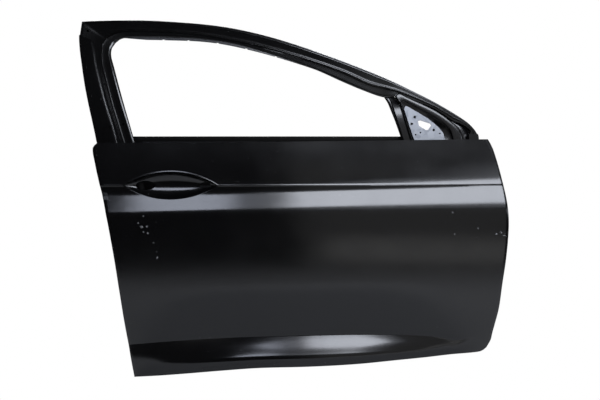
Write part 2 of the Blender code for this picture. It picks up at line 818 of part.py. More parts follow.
def wall_path(rear_inset, bottom_inset, front_inset, top):
    # One line round the pan, down the rear, along the bottom and up the front
    steps = 24
    foot_z = bottom_edge(rear_edge_points[0][1]) + bottom_inset
    rear = []
    for i in range(steps + 1):
        z = lerp(top, foot_z, i / steps)
        rear.append((rear_wall(z) + rear_inset, z))
    nose_z = bottom_edge_points[-1][1] + bottom_inset
    nose_x = front_wall(nose_z, front_inset)
    bottom = []
    for i in range(steps + 1):
        x = lerp(rear[-1][0], nose_x, i / steps)
        bottom.append((x, bottom_edge(x) + bottom_inset))
    front = []
    for i in range(steps + 1):
        z = lerp(bottom[-1][1], top, i / steps)
        front.append((front_wall(z, front_inset), z))
    return round_corner(round_corner(rear, bottom, wall_corner), front, wall_corner)


def flange_border(upper, lower):
    # The stretch of the outer panel's edge that the pan's flange lies on, with its directions
    border = skin_border(upper, lower)
    normals = edge_normals(border)
    width = len(upper[0])
    grid = len(upper) + len(lower) - 1
    order = list(range(len(border)))
    rear_down = order[-(grid - 2):][::-1]
    bottom = order[width + grid - 2:width + grid - 2 + width][::-1]
    front_up = order[width:width + grid - 2][::-1]
    chosen = rear_down + bottom + front_up
    return [(border[i], normals[i]) for i in chosen]


def flange_line(border, inset):
    line = []
    for (x, _, z), n in border:
        aside = square_off(n)
        px, pz = x - aside.x * inset, z - aside.y * inset
        line.append((px, skin_y(px, pz) + flange_gap, pz))
    return line


def inner_belt_y(x, z):
    # The main wall leans outboard above its top line and ends in an upright strip
    low, high = belt_inner_y + wall_round + plan_bow(x), belt_inner_y + plan_bow(x)
    if z < belt_bend_z:
        return lerp(main_wall_y, low, (z - main_top_z) / (belt_bend_z - main_top_z))
    return lerp(low, high, (z - belt_bend_z) / (belt_top_z - belt_bend_z))


def main_wall_features():
    # Each feature is its rings with their depth, then whether a floor closes it
    opening = [(rounded(service_opening, service_radius), 0.0),
               (rounded(service_opening, service_radius, press_slope), -press_depth),
               (rounded(service_opening, service_radius, press_slope + service_land), -press_depth)]
    speaker = [(circle(speaker_centre, speaker_radius + speaker_rim, 24), 0.0),
               (circle(speaker_centre, speaker_radius + speaker_rim - press_slope, 24), -press_depth),
               (circle(speaker_centre, speaker_radius, 24), -press_depth)]
    features = [(opening, False), (speaker, False)]
    for corners in (latch_access, hinge_access):
        features.append(([(rounded(corners, access_radius, 0.0, 3), 0.0)], False))
    for start, end, radius in bead_lines:
        bead = [(capsule(start, end, radius), 0.0), (capsule(start, end, radius - bead_slope), -press_depth)]
        features.append((bead, True))
    for centre in clip_holes:
        features.append(([(circle(centre, clip_radius, 8), 0.0)], False))
    return features


def make_inner_panel(upper, lower):
    shape = bmesh.new()
    border = flange_border(upper, lower)
    first = flange_line(border, 1.8)
    second = flange_line(border, inner_flange)
    lengths = path_length([(p[0], p[2]) for p in second])
    shares = [length / lengths[-1] for length in lengths]
    lines = [first, second]
    levels = [(wall_near_y, shut_top_z), (wall_far_y, shut_top_z), (wall_far_y + wall_round, main_top_z),
              (main_wall_y - press_round, main_top_z), (main_wall_y, main_top_z)]
    for insets, (y, top) in zip(wall_insets, levels):
        path = resample(wall_path(*insets, top), shares)
        lines.append([(x, max(y, skin_y(x, z) + wall_from_skin), z) for x, z in path])
    rings = [[vertex(shape, point) for point in line] for line in lines]
    for ring, following in zip(rings, rings[1:]):
        bridge(shape, ring, following)
    wall_ring = rings[-1]
    start, end = lines[-1][0], lines[-1][-1]
    columns = 16
    belt = []
    for z in (main_top_z, belt_bend_z, belt_top_z):
        row = []
        for i in range(columns + 1):
            x = lerp(start[0], end[0], i / columns)
            corner = {0: wall_ring[0], columns: wall_ring[-1]}.get(i) if z == main_top_z else None
            row.append(corner or vertex(shape, (x, inner_belt_y(x, z), z)))
        belt.append(row)
    for row, following in zip(belt, belt[1:]):
        bridge(shape, row, following)
    loops = [wall_ring + belt[0][-2:0:-1]]
    floors = []
    for feature, floor in main_wall_features():
        made = [[vertex(shape, (x, main_wall_y + depth, z)) for x, z in loop] for loop, depth in feature]
        loops.append(made[0])
        for ring, following in zip(made, made[1:]):
            bridge(shape, ring, following, closed=True)
        if floor:
            floors.append(made[-1])
    fill(shape, loops)
    for floor in floors:
        fill(shape, [floor])
    panel = sheet("inner_panel", shape, outboard, inner_sheet)
    hinge_bolts = []
    for z in (upper_hinge_z, lower_hinge_z):
        for side in (-1, 1):
            hinge_bolts.append(circle((hinge_y, z + side * hinge_bolt_offset), hinge_bolt_radius))
    front_holes = hinge_bolts + [rectangle((hinge_y, check_strap_z), *check_strap_size),
                                 circle((hinge_y, grommet_z), grommet_radius, 16)]
    punch(panel, "front_hole", front_holes, facing_front(0.0), shallow_cut)
    latch_holes = [rounded(rectangle((0, 0), *latch_size), hole_corner, 0.0, 3)]
    latch_holes += [circle(place, latch_bolt_radius, 10) for place in latch_bolts]
    punch(panel, "latch_hole", latch_holes, latch_place(0.0), shallow_cut)
    for number, x in enumerate(drain_x, 1):
        half, y = drain_size[0] / 2, wall_near_y + drain_back
        slot = capsule((x - half, y), (x + half, y), drain_size[1] / 2)
        height = bottom_edge(x) + (wall_insets[0][1] + wall_insets[1][1]) / 2
        punch(panel, f"drain_{number}", [slot], facing_up(height), shallow_cut)
    return panel


def latch_place(depth):
    # A plane on the rear shut face at the latch, moved into the door by depth
    slope = (rear_wall(latch_z + 1) - rear_wall(latch_z - 1)) / 2
    up = Vector((slope, 0, 1)).normalized()
    across_wall = Vector((wall_lean, 1, 0))
    inward = across_wall.cross(up).normalized()
    side = up.cross(inward)
    x = rear_wall(latch_z) + wall_lean * (latch_y - wall_near_y)
    centre = (Vector((x, latch_y, latch_z)) + inward * depth) * MM
    turned = Matrix((side, up, inward)).transposed().to_4x4()
    return Matrix.Translation(centre) @ turned


# Window frame

def towards(start, end, distance):
    a, b = Vector(start), Vector(end)
    return a + (b - a).normalized() * distance


def outer_section(outer, ridge, window):
    # Lip, face, groove, ridge, glass run and window edge of the outer sheet
    width = (Vector(ridge) - Vector(outer)).length
    scale = min(1.0, width / (face_width + 2 * step_width + ridge_width + groove_floor))
    face, step, land = face_width * scale, step_width * scale, ridge_width * scale
    run = (Vector(window) - Vector(ridge)).length
    depth = min(1.0, scale * 1.15)
    flat = [(Vector(outer), lip_depth), (Vector(outer), 0), (towards(outer, ridge, face), 0),
            (towards(outer, ridge, face + step), groove_depth * depth),
            (towards(outer, ridge, width - land - step), groove_depth * depth),
            (towards(outer, ridge, width - land), ridge_drop), (Vector(ridge), ridge_drop),
            (towards(ridge, window, min(step_width, run * 0.4)), run_depth * depth),
            (Vector(window), run_depth * depth)]
    return [(p.x, frame_y(p.x, p.y, h), p.y) for p, h in flat]


def inner_section(outer, ridge, window, number):
    # Hat-shaped inner sheet: flange beside the lip, box, and the lip behind the window edge
    span = (Vector(window) - Vector(outer)).length
    scale = min(1.0, span / box_span)
    near = lip_clearance
    lip = inner_lip_at(number)
    away = (Vector(window) - Vector(ridge)).normalized()
    edge = Vector(window) + away * lip
    width = (edge - Vector(outer)).length
    run = run_depth * min(1.0, scale * 1.15) + frame_sheet + seat
    foot = outer[1] <= belt_top_z + 1
    far = width - lip
    stations = [(near, hat_flange_y), (near, run), (near + box_wall * scale, box_depth),
                (far - 2 * box_step * scale, box_depth), (far - box_step * scale, run), (width, run)]
    points = []
    for distance, h in stations:
        p = towards(outer, edge, distance)
        y = frame_y(p.x, p.y, h)
        if h == box_depth and foot:
            y = inner_belt_y(p.x, max(p.y, belt_bend_z)) - seat - frame_sheet
        points.append((p.x, y, p.y))
    return points


def inner_lip_at(number):
    # The lip shows below the header and tapers away before the sail
    if number < 11 or number > 19:
        return 0.0
    return inner_lip * min(1.0, (number - 11) / 2, (19 - number) / 3)


def make_frame():
    outer_rows = [outer_section(*row) for row in frame_rows]
    outer_sheet = sweep("upper_frame_outer", outer_rows, outboard, frame_sheet)
    inner_rows = [inner_section(*row, number) for number, row in enumerate(frame_rows[:last_full_row + 1])]
    inner_sheet_obj = sweep("upper_frame_inner", inner_rows, outboard, frame_sheet)
    return outer_sheet, inner_sheet_obj


def lip_edge_z(x):
    # Height of the inner frame's free edge below the header
    window = spline([row[2] for row in frame_rows[11:20]])
    return window(x) - inner_lip


def cut_frame(outer_sheet, inner_sheet_obj):
    for number, (x, z, radius) in enumerate(frame_holes, 1):
        punch(outer_sheet, f"frame_hole_{number}", [circle((x, z), radius, 10)], facing_side(frame_y(x, z)))
    for number, x in enumerate(notch_x, 1):
        z = lip_edge_z(x)
        place = facing_side(frame_y(x, z, run_depth))
        notch = rectangle((x, z - notch_lift), notch_width, notch_height)
        punch(inner_sheet_obj, f"notch_{number}", [notch], place, shallow_cut)


def on_frame(position, distance, depth):
    # A point over the frame: position counts its rows, distance runs from the outer edge to the ridge
    number = min(int(position), len(frame_rows) - 2)
    ends = []
    for outer, ridge, _ in frame_rows[number:number + 2]:
        p = towards(outer, ridge, distance)
        ends.append((p.x, frame_y(p.x, p.y, depth), p.y))
    return tuple(lerp(a, b, position - number) for a, b in zip(*ends))


def make_pillar_plate():
    face = -(seat + pillar_sheet + slant_room)
    left = -pillar_overhang
    rows = []
    for position, right in pillar_plate_rows:
        rows.append([on_frame(position, left, pillar_return), on_frame(position, left, face),
                     on_frame(position, right, face), on_frame(position, right, pillar_plate_fold)])
    plate = sweep("b_pillar_plate", rows, outboard, pillar_sheet)
    for number, (x, z) in enumerate(pillar_holes, 1):
        hole = circle((x, z), pillar_hole_radius, 10)
        punch(plate, f"pillar_hole_{number}", [hole], facing_side(frame_y(x, z)), shallow_cut)
    return plate


# Sail and mirror plate

def sail_plane(x, z, depth):
    # The dish's flat floor touches the frame's surface at its middle
    cx, cz = sail_middle
    rise = (frame_y(cx, cz + 1) - frame_y(cx, cz - 1)) / 2
    run = (frame_y(cx + 1, cz) - frame_y(cx - 1, cz)) / 2
    return frame_y(cx, cz) + run * (x - cx) + rise * (z - cz) + depth


def grow(loop, amounts):
    normals = edge_normals([(x, 0, z) for x, z in loop])
    return [(x + n.x * amount, z + n.y * amount) for (x, z), n, amount in zip(loop, normals, amounts)]


def make_sail_frame():
    shape = bmesh.new()
    flange = [(x, frame_y(x, z, sail_flange_depth), z) for x, z in grow(sail_outer, sail_flange)]
    edge = [(x, frame_y(x, z, sail_flange_depth), z) for x, z in sail_outer]
    band = [(x, frame_y(x, z), z) for x, z in sail_outer]
    rim = [(x, frame_y(x, z), z) for x, z in sail_inner]
    inset = grow(sail_inner, [-sail_wall] * len(sail_inner))
    floor = [(x, sail_plane(x, z, sail_depth), z) for x, z in inset]
    opening = [(x, sail_plane(x, z, sail_depth), z) for x, z in sail_opening]
    rings = [[vertex(shape, point) for point in ring] for ring in (flange, edge, band, rim, floor)]
    for ring, following in zip(rings, rings[1:]):
        bridge(shape, ring, following, closed=True)
    fill(shape, [rings[-1], [vertex(shape, point) for point in opening]])
    return sheet("sail_frame", shape, outboard, frame_sheet)


def flat_on_sail(name, loops, depth, thickness, material):
    shape = bmesh.new()
    fill(shape, [[vertex(shape, (x, sail_plane(x, z, depth), z)) for x, z in loop] for loop in loops])
    return sheet(name, shape, outboard, thickness, material)


def make_mirror_plates():
    lean = 1.04  # distance along Y across a flat sheet on the sail, for each millimetre of its thickness
    depth = sail_depth - (mirror_sheet + seat) * lean
    bolts = [circle(place, mirror_bolt_radius, 12) for place in mirror_bolts]
    pins = [circle(place, mirror_pin_radius, 10) for place in mirror_pins]
    plate = flat_on_sail("mirror_mount_plate", [mirror_plate, cable_hole] + bolts + pins, depth, mirror_sheet,
                         galvanised)
    behind = sail_depth + (frame_sheet + seat) * lean + slant_room
    loops = [reinforcement, sail_opening] + bolts[:1]
    back = flat_on_sail("mirror_reinforcement", loops, behind, bracket_sheet, black_primer)
    return plate, back


# Division bar and glass channel

def make_division_bar():
    rows = []
    for z, window, rear, front in bar_rows:
        section = [(window, bar_depth), (rear - 2 * bar_draft, bar_depth), (rear, 0), (front, 0),
                   (front + bar_draft, bar_leg)]
        rows.append([(x, frame_y(x, z, h), z) for x, h in section])
    bar = sweep("division_bar", rows, outboard, frame_sheet)
    top, bend, end = bar_foot_z
    on_wall = main_wall_y - seat - bracket_sheet
    rows = []
    behind = bar_depth + frame_sheet + seat + slant_room
    for x in bar_foot_x:
        rows.append([(x, frame_y(x, top, behind), top), (x, frame_y(x, bend, behind), bend),
                     (x, on_wall, bend), (x, on_wall, end)])
    foot = sweep("division_bar_foot", rows, outboard, bracket_sheet)
    return bar, foot


def make_glass_channel():
    (top_x, top_z), (end_x, end_z) = channel_top, channel_end
    along = Vector((end_x - top_x, end_z - top_z)).normalized()
    forward = Vector((-along.y, along.x))
    steps = 6
    rows = []
    for i in range(steps + 1):
        centre = Vector(channel_top).lerp(Vector(channel_end), i / steps)
        row = []
        for reach, h in ((channel_side, channel_near), (0, channel_near), (0, channel_far),
                         (channel_side, channel_far)):
            p = centre + forward * reach
            row.append((p.x, frame_y(p.x, p.y, h), p.y))
        rows.append(row)
    channel = sweep("rear_glass_channel", rows, Vector((1, 0, 0)), frame_sheet)
    start, bend, tab = channel_foot_x
    on_wall = main_wall_y - seat - bracket_sheet
    behind = channel_far + frame_sheet + seat + bracket_sheet
    rows = [[(start, on_wall, z), (bend, on_wall, z), (bend, frame_y(bend, z, behind), z),
             (tab, frame_y(tab, z, behind), z)] for z in channel_foot_z]
    foot = sweep("rear_channel_foot", rows, outboard, bracket_sheet)
    return channel, foot


# Belt rails

def belt_stations():
    rear, front = rear_edge(skin_rows[0].heights[0]), front_edge(skin_rows[0].heights[-1])
    stations = [(lerp(rear, front, s), skin_rows[0].z(s)) for s in skin_columns()]
    apart = 8.0  # no station closer than this to a rail's end
    inside = [(x, z) for x, z in stations if belt_rail_rear + apart < x < belt_rail_front - apart]
    ends = [(x, skin_rows[0].z((x - rear) / (front - rear))) for x in (belt_rail_rear, belt_rail_front)]
    return [ends[0]] + inside + [ends[1]]


def make_belt_rails():
    near = flange_gap
    low = near + slant_room
    gaps = (near, near, outer_rail_depth, outer_rail_depth, low, low)
    rows = []
    for x, top in belt_stations():
        folds = [(top - drop, gap) for drop, gap in zip(outer_rail_drops, gaps)]
        rows.append([(x, skin_y(x, z) + gap, z) for z, gap in folds])
    outer = sweep("belt_rail_outer", rows, outboard, skin_sheet)
    off = seat + frame_sheet
    lean = math.hypot(1, (main_wall_y - belt_inner_y - wall_round) / (belt_bend_z - main_top_z))
    on_slope = off * lean + slant_room
    top, bend = belt_top_z - inner_rail_drop, belt_bend_z + inner_rail_bend
    face = belt_bend_z - inner_rail_face
    low = face - inner_rail_bend
    foot = low - inner_rail_foot
    steps = 12
    rows = []
    for i in range(steps + 1):
        x = lerp(belt_rail_rear, belt_rail_front, i / steps)
        proud = inner_belt_y(x, belt_bend_z) - inner_rail_depth
        rows.append([(x, inner_belt_y(x, top) - off, top), (x, inner_belt_y(x, bend) - off, bend),
                     (x, proud, belt_bend_z), (x, proud, face), (x, inner_belt_y(x, low) - on_slope, low),
                     (x, inner_belt_y(x, foot) - on_slope, foot)])
    inner = sweep("belt_rail_inner", rows, outboard, frame_sheet)
    return outer, inner


# Impact beam with its brackets and pads

def beam_axis(x):
    t = (x - beam_rear[0]) / (beam_front[0] - beam_rear[0])
    y = lerp(beam_rear[1], beam_front[1], t) - beam_bow * 4 * t * (1 - t)
    return y, lerp(beam_rear[2], beam_front[2], t)


def make_beam():
    shape = bmesh.new()
    walls = []
    for radius in (beam_radius, beam_radius - beam_wall):
        rings = []
        for i in range(beam_segments + 1):
            x = lerp(beam_rear[0], beam_front[0], i / beam_segments)
            y, z = beam_axis(x)
            rings.append([vertex(shape, (x, v, w)) for v, w in circle((y, z), radius, 16)])
        for ring, following in zip(rings, rings[1:]):
            bridge(shape, ring, following, closed=True)
        walls.append(rings)
    for end in (0, -1):
        bridge(shape, walls[0][end], walls[1][end], closed=True)
    bmesh.ops.recalc_face_normals(shape, faces=shape.faces)
    return add_object("impact_beam", mesh_of("impact_beam", shape), black_primer)


def trough(x, spread=0.0, set_back=0.0):
    # Points round the inboard side of the beam, opened out towards a flat line by spread
    y, z = beam_axis(x)
    radius = beam_radius + seat
    points = []
    for k in range(-4, 5):
        turn = math.radians(bracket_grip * k / 4)
        v = lerp(y + radius * math.cos(turn), set_back, spread)
        points.append((x, v, lerp(z + radius * math.sin(turn), z + bracket_spread * k / 4, spread)))
    return points


def wall_line(line, wall_x, y):
    return [(wall_x(z, y), y, z) for _, _, z in line]


def make_beam_brackets():
    def at_front(z, y):
        return -inner_sheet - seat

    def at_rear(z, y):
        return rear_wall(z) + wall_lean * (y - wall_near_y) + seat

    made = []
    for name, xs, wall_x in (("beam_bracket_front", front_bracket_x, at_front),
                             ("beam_bracket_rear", rear_bracket_x, at_rear)):
        opened = trough(xs[2], 1.0, bracket_back_y)
        rows = [trough(xs[0]), trough(xs[1]), opened]
        rows += [wall_line(opened, wall_x, y) for y in bracket_leg_y]
        made.append(sweep(name, rows, outboard, bracket_sheet))
    return made


def make_pads():
    made = []
    for number, centre in enumerate(pad_x, 1):
        name = f"mastic_pad_{number}"
        shape = bmesh.new()
        rings = []
        for i in range(4):
            x = centre + pad_length * (i / 3 - 0.5)
            y, z = beam_axis(x)
            far, near = [], []
            for k in range(-2, 3):
                aside = pad_height / 4 * k
                far.append((x, y - math.sqrt((beam_radius + seat) ** 2 - aside**2), z + aside))
                near.append((x, skin_y(x, z + aside) + skin_sheet + seat + slant_room, z + aside))
            rings.append([vertex(shape, point) for point in far + near[::-1]])
        for ring, following in zip(rings, rings[1:]):
            bridge(shape, ring, following, closed=True)
        for ring in (rings[0], rings[-1]):
            for a, b, c, d in zip(ring[:4], ring[1:5], ring[-2:-6:-1], ring[-1:-5:-1]):
                shape.faces.new((a, b, c, d))
        bmesh.ops.recalc_face_normals(shape, faces=shape.faces)
        made.append(add_object(name, mesh_of(name, shape), mastic))
    return made


# Fixing plates

def make_hinge_plate(name, z):
    near = -inner_sheet - seat
    outline = rounded(rectangle((hinge_y, z), hinge_plate_width, hinge_plate_height), plate_corner, 0.0, 3)
    place = facing_front(near - hinge_sheet / 2)
    plate = add_object(name, flat_mesh(name, [outline], hinge_sheet, place), black_primer)
    centres = [(hinge_y, z + side * hinge_bolt_offset) for side in (-1, 1)]
    for number, centre in enumerate(centres, 1):
        tool = f"{name}_boss_{number}"
        place = facing_front(near - hinge_sheet - hinge_boss_height / 2 + hinge_boss_root)
        rim = circle(centre, hinge_boss_radius, 16)
        combine(plate, add_object(tool, flat_mesh(tool, [rim], hinge_boss_height, place)), "UNION")
    threads = [circle(centre, hinge_thread_radius) for centre in centres]
    punch(plate, f"{name}_hole", threads, facing_front(near))
    return plate


def make_fixing_plates():
    upper = make_hinge_plate("hinge_plate_upper", upper_hinge_z)
    lower = make_hinge_plate("hinge_plate_lower", lower_hinge_z)
    loops = [rounded(rectangle((hinge_y, check_strap_z), *check_plate_size), plate_corner, 0.0, 3),
             rectangle((hinge_y, check_strap_z), *check_strap_size)]
    place = facing_front(-inner_sheet - seat - bracket_sheet / 2)
    mesh = flat_mesh("check_strap_plate", loops, bracket_sheet, place)
    check = add_object("check_strap_plate", mesh, black_primer)
    loops = [rounded(rectangle((0, 0), *latch_plate_size), plate_corner, 0.0, 3),
             rounded(rectangle((0, 0), *latch_size), hole_corner, 0.0, 3)]
    loops += [circle(centre, latch_bolt_radius, 10) for centre in latch_bolts]
    mesh = flat_mesh("latch_plate", loops, bracket_sheet, latch_place(seat + bracket_sheet / 2))
    return upper, lower, check, add_object("latch_plate", mesh, black_primer)


def make_handle_bracket():
    near, far = handle_bracket_leg_y
    flat = handle_bracket_y
    rows = []
    for k in range(3):
        z = crease_z + handle_bracket_height * (k / 2 - 0.5)
        wall_x = rear_wall(z) + wall_lean * (near - wall_near_y) + seat
        rows.append([(handle_bracket_front, flat, z), (handle_bracket_rear, flat, z),
                     (wall_x + handle_bracket_ramp, flat, z), (wall_x, near, z),
                     (wall_x + wall_lean * (far - near), far, z)])
    bracket = sweep("handle_bracket", rows, outboard, bracket_sheet)
    loops = []
    for x, length, height in (handle_hole, handle_pivot_hole):
        loops.append(oval((x, crease_z), length + handle_bracket_room, height + handle_bracket_room))
    punch(bracket, "bracket_opening", loops, facing_side(flat), shallow_cut)
    return bracket


def make_corner_plate():
    rear, front, low, high = corner_plate
    rows = []
    for z in (low, (low + high) / 2, high):
        rows.append([(x, frame_y(x, z, -seat - bracket_sheet), z) for x in (rear, (rear + front) / 2, front)])
    return sweep("front_corner_plate", rows, outboard, bracket_sheet)


make_outer_panel()
make_inner_panel(*skin_grid())
cut_frame(*make_frame())
make_pillar_plate()
make_sail_frame()
make_mirror_plates()
make_division_bar()
make_glass_channel()
make_belt_rails()
make_beam()
make_beam_brackets()
make_pads()
make_fixing_plates()
make_handle_bracket()
make_corner_plate()
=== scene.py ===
import math

import bmesh
import bpy
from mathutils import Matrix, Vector


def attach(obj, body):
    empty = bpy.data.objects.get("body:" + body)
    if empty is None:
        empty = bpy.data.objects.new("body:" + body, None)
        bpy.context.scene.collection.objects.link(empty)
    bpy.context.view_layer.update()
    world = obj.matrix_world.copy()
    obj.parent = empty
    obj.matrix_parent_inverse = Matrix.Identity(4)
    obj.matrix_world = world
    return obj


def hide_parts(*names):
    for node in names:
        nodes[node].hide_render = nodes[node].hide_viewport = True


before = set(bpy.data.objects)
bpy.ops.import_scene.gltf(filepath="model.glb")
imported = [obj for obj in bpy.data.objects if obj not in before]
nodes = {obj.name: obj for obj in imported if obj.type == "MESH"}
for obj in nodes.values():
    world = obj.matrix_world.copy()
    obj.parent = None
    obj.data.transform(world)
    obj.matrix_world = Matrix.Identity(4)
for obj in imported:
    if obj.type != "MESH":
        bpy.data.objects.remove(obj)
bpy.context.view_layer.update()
scene = bpy.context.scene
scene.view_settings.view_transform = "Standard"
mm = 0.001


def hexColour(code):
    # sRGB hex to linear
    values = [int(code[i:i + 2], 16) / 255 for i in (1, 3, 5)]
    return [v / 12.92 if v <= 0.04045 else ((v + 0.055) / 1.055) ** 2.4 for v in values] + [1.0]


def addNode(tree, kind, settings=None, inputs=None):
    # One node with its settings; an input may be a value or another node's output
    node = tree.nodes.new(kind)
    for name, value in (settings or {}).items():
        setattr(node, name, value)
    for name, value in (inputs or {}).items():
        socket = node.inputs[name]
        if isinstance(value, bpy.types.NodeSocket):
            tree.links.new(value, socket)
        else:
            socket.default_value = value
    return node


def newMaterial(name):
    material = bpy.data.materials.new(name)
    material.use_nodes = True
    tree = material.node_tree
    tree.nodes.clear()
    output = addNode(tree, "ShaderNodeOutputMaterial")
    return material, tree, output


# Dipped black primer: baked cathodic coat, deep black and glossy with a faint orange peel
primer = {
    "colour": "#060607", "ior": 1.5,
    "dust": "#9a9b9e",      # dust and bare metal
    "roughness": 0.14,
    "hazeSize": 90.0,       # mm between duller clouds
    "hazeFrom": 0.35, "hazeTo": 0.75, "haze": 0.05,
    "peelSize": 3.2,        # mm between the peel's swells
    "peelHeight": 0.010,    # mm
    "dustSpacing": 4.8,     # mm, coarser than real dust so that it shows
    "dustShare": 0.015, "dustRadius": 0.10,
    "scratchSize": 2.6, "scratchLevel": 0.80,  # bare metal shows where the scratch noise passes the level
}

# Nicks through the primer: centre x, z, radius in mm, how much of it is bare
nicks = [(-967, -115, 5.0, 0.38), (-981, -134, 5.0, 0.36), (-971, -144, 8.0, 0.38), (-956, -143, 5.0, 0.36),
         (-966, -158, 5.0, 0.36), (-953, -162, 5.5, 0.36), (-938, -188, 5.5, 0.38), (-929, -213, 5.5, 0.38),
         (-927, -229, 6.0, 0.38), (-1014, -170, 4.0, 0.34), (-104, -103, 5.0, 0.36), (-33, -148, 4.5, 0.36),
         (-101, -165, 4.5, 0.36), (18, -165, 6.0, 0.36), (30, -160, 8.0, 0.37), (40, -168, 7.0, 0.37),
         (-1033, -335, 7.0, 0.40)]


def makePrimer(name, roughness, dustShare, withNicks=False):
    material, tree, output = newMaterial(name)
    where = addNode(tree, "ShaderNodeTexCoord").outputs["Object"]
    peel = addNode(tree, "ShaderNodeTexNoise", None,
                   {"Vector": where, "Scale": 1 / (primer["peelSize"] * mm), "Detail": 2.0,
                    "Roughness": 0.4})
    bump = addNode(tree, "ShaderNodeBump", None,
                   {"Height": peel.outputs["Fac"], "Distance": primer["peelHeight"] * mm, "Strength": 1.0})
    cloud = addNode(tree, "ShaderNodeTexNoise", None,
                    {"Vector": where, "Scale": 1 / (primer["hazeSize"] * mm), "Detail": 4.0})
    haze = addNode(tree, "ShaderNodeMapRange", None,
                   {"Value": cloud.outputs["Fac"], "From Min": primer["hazeFrom"],
                    "From Max": primer["hazeTo"], "To Min": roughness, "To Max": roughness + primer["haze"]})
    grain = addNode(tree, "ShaderNodeTexVoronoi", {"feature": "F1"},
                    {"Vector": where, "Scale": 1 / (primer["dustSpacing"] * mm), "Randomness": 1.0})
    speck = addNode(tree, "ShaderNodeMath", {"operation": "LESS_THAN", "use_clamp": True},
                    {0: grain.outputs["Distance"], 1: primer["dustRadius"]})
    pick = addNode(tree, "ShaderNodeSeparateColor", None, {"Color": grain.outputs["Color"]})
    rare = addNode(tree, "ShaderNodeMath", {"operation": "LESS_THAN"},
                   {0: pick.outputs["Red"], 1: dustShare})
    dots = addNode(tree, "ShaderNodeMath", {"operation": "MULTIPLY"},
                   {0: speck.outputs[0], 1: rare.outputs[0]})
    mask = dots.outputs[0]
    if withNicks:
        scratch = addNode(tree, "ShaderNodeTexNoise", None,
                          {"Vector": where, "Scale": 1 / (primer["scratchSize"] * mm), "Detail": 2.0})
        for x, z, radius, share in nicks:
            flat = addNode(tree, "ShaderNodeMapping", {"vector_type": "POINT"},
                           {"Vector": where, "Location": (-x * mm, 0, -z * mm), "Scale": (1, 0, 1)})
            away = addNode(tree, "ShaderNodeVectorMath", {"operation": "LENGTH"}, {0: flat.outputs[0]})
            near = addNode(tree, "ShaderNodeMapRange", None,
                           {"Value": away.outputs["Value"], "From Min": 0.0, "From Max": radius * mm,
                            "To Min": share, "To Max": 0.0})
            level = addNode(tree, "ShaderNodeMath", {"operation": "SUBTRACT"},
                            {0: primer["scratchLevel"], 1: near.outputs[0]})
            hit = addNode(tree, "ShaderNodeMath", {"operation": "GREATER_THAN"},
                          {0: scratch.outputs["Fac"], 1: level.outputs[0]})
            mask = addNode(tree, "ShaderNodeMath", {"operation": "MAXIMUM"},
                           {0: mask, 1: hit.outputs[0]}).outputs[0]
    colour = addNode(tree, "ShaderNodeMix", {"data_type": "RGBA"},
                     {"Factor": mask, "A": hexColour(primer["colour"]), "B": hexColour(primer["dust"])})
    coat = addNode(tree, "ShaderNodeBsdfPrincipled", None,
                   {"Base Color": colour.outputs["Result"], "Roughness": haze.outputs[0],
                    "IOR": primer["ior"], "Normal": bump.outputs[0]})
    tree.links.new(coat.outputs[0], output.inputs["Surface"])
    return material


# The coat is smoothest on the skin and runs thinner and duller inside
skinPrimer = makePrimer("dipped_black_primer_on_skin", primer["roughness"], primer["dustShare"], True)
framePrimer = makePrimer("dipped_black_primer_on_frame", primer["roughness"] + 0.04, primer["dustShare"])
lipPrimer = makePrimer("dipped_black_primer_on_lip", primer["roughness"] + 0.12, primer["dustShare"])
insidePrimer = makePrimer("dipped_black_primer_inside", primer["roughness"] + 0.16, primer["dustShare"] * 2)

# Galvanised sheet: hot-dipped zinc, pale and soft in its shine, with a faint crystal flower
galvanised = {"colour": "#96999e", "shade": "#7f8288", "flower": 14.0, "metallic": 0.75, "roughness": 0.46}


def makeZinc():
    material, tree, output = newMaterial("galvanised_sheet")
    where = addNode(tree, "ShaderNodeTexCoord").outputs["Object"]
    flower = addNode(tree, "ShaderNodeTexVoronoi", None,
                     {"Vector": where, "Scale": 1 / (galvanised["flower"] * mm)})
    pick = addNode(tree, "ShaderNodeSeparateColor", None, {"Color": flower.outputs["Color"]})
    colour = addNode(tree, "ShaderNodeMix", {"data_type": "RGBA"},
                     {"Factor": pick.outputs["Green"], "A": hexColour(galvanised["colour"]),
                      "B": hexColour(galvanised["shade"])})
    coat = addNode(tree, "ShaderNodeBsdfPrincipled", None,
                   {"Base Color": colour.outputs["Result"], "Metallic": galvanised["metallic"],
                    "Roughness": galvanised["roughness"]})
    tree.links.new(coat.outputs[0], output.inputs["Surface"])
    return material


# Anti-flutter mastic: soft black sealing compound, dull and slightly lumpy
sealer = {"colour": "#262628", "roughness": 0.8, "lumpSize": 8.0, "lumpHeight": 0.6}


def makeMastic():
    material, tree, output = newMaterial("anti_flutter_mastic")
    where = addNode(tree, "ShaderNodeTexCoord").outputs["Object"]
    lumps = addNode(tree, "ShaderNodeTexNoise", None,
                    {"Vector": where, "Scale": 1 / (sealer["lumpSize"] * mm), "Detail": 3.0})
    bump = addNode(tree, "ShaderNodeBump", None,
                   {"Height": lumps.outputs["Fac"], "Distance": sealer["lumpHeight"] * mm, "Strength": 1.0})
    coat = addNode(tree, "ShaderNodeBsdfPrincipled", None,
                   {"Base Color": hexColour(sealer["colour"]), "Roughness": sealer["roughness"],
                    "Normal": bump.outputs[0]})
    tree.links.new(coat.outputs[0], output.inputs["Surface"])
    return material


zinc, mastic = makeZinc(), makeMastic()
print("materials ready")

# What each solid wears; all the others are inside the door
finishes = {"outer_panel": skinPrimer, "mirror_mount_plate": zinc}
finishes.update({f"mastic_pad_{number}": mastic for number in range(1, 5)})
for name in ("upper_frame_outer", "upper_frame_inner", "b_pillar_plate", "sail_frame", "division_bar",
             "front_corner_plate"):
    finishes[name] = framePrimer
for name, node in nodes.items():
    node.data.materials.clear()
    node.data.materials.append(finishes.get(name, insidePrimer))

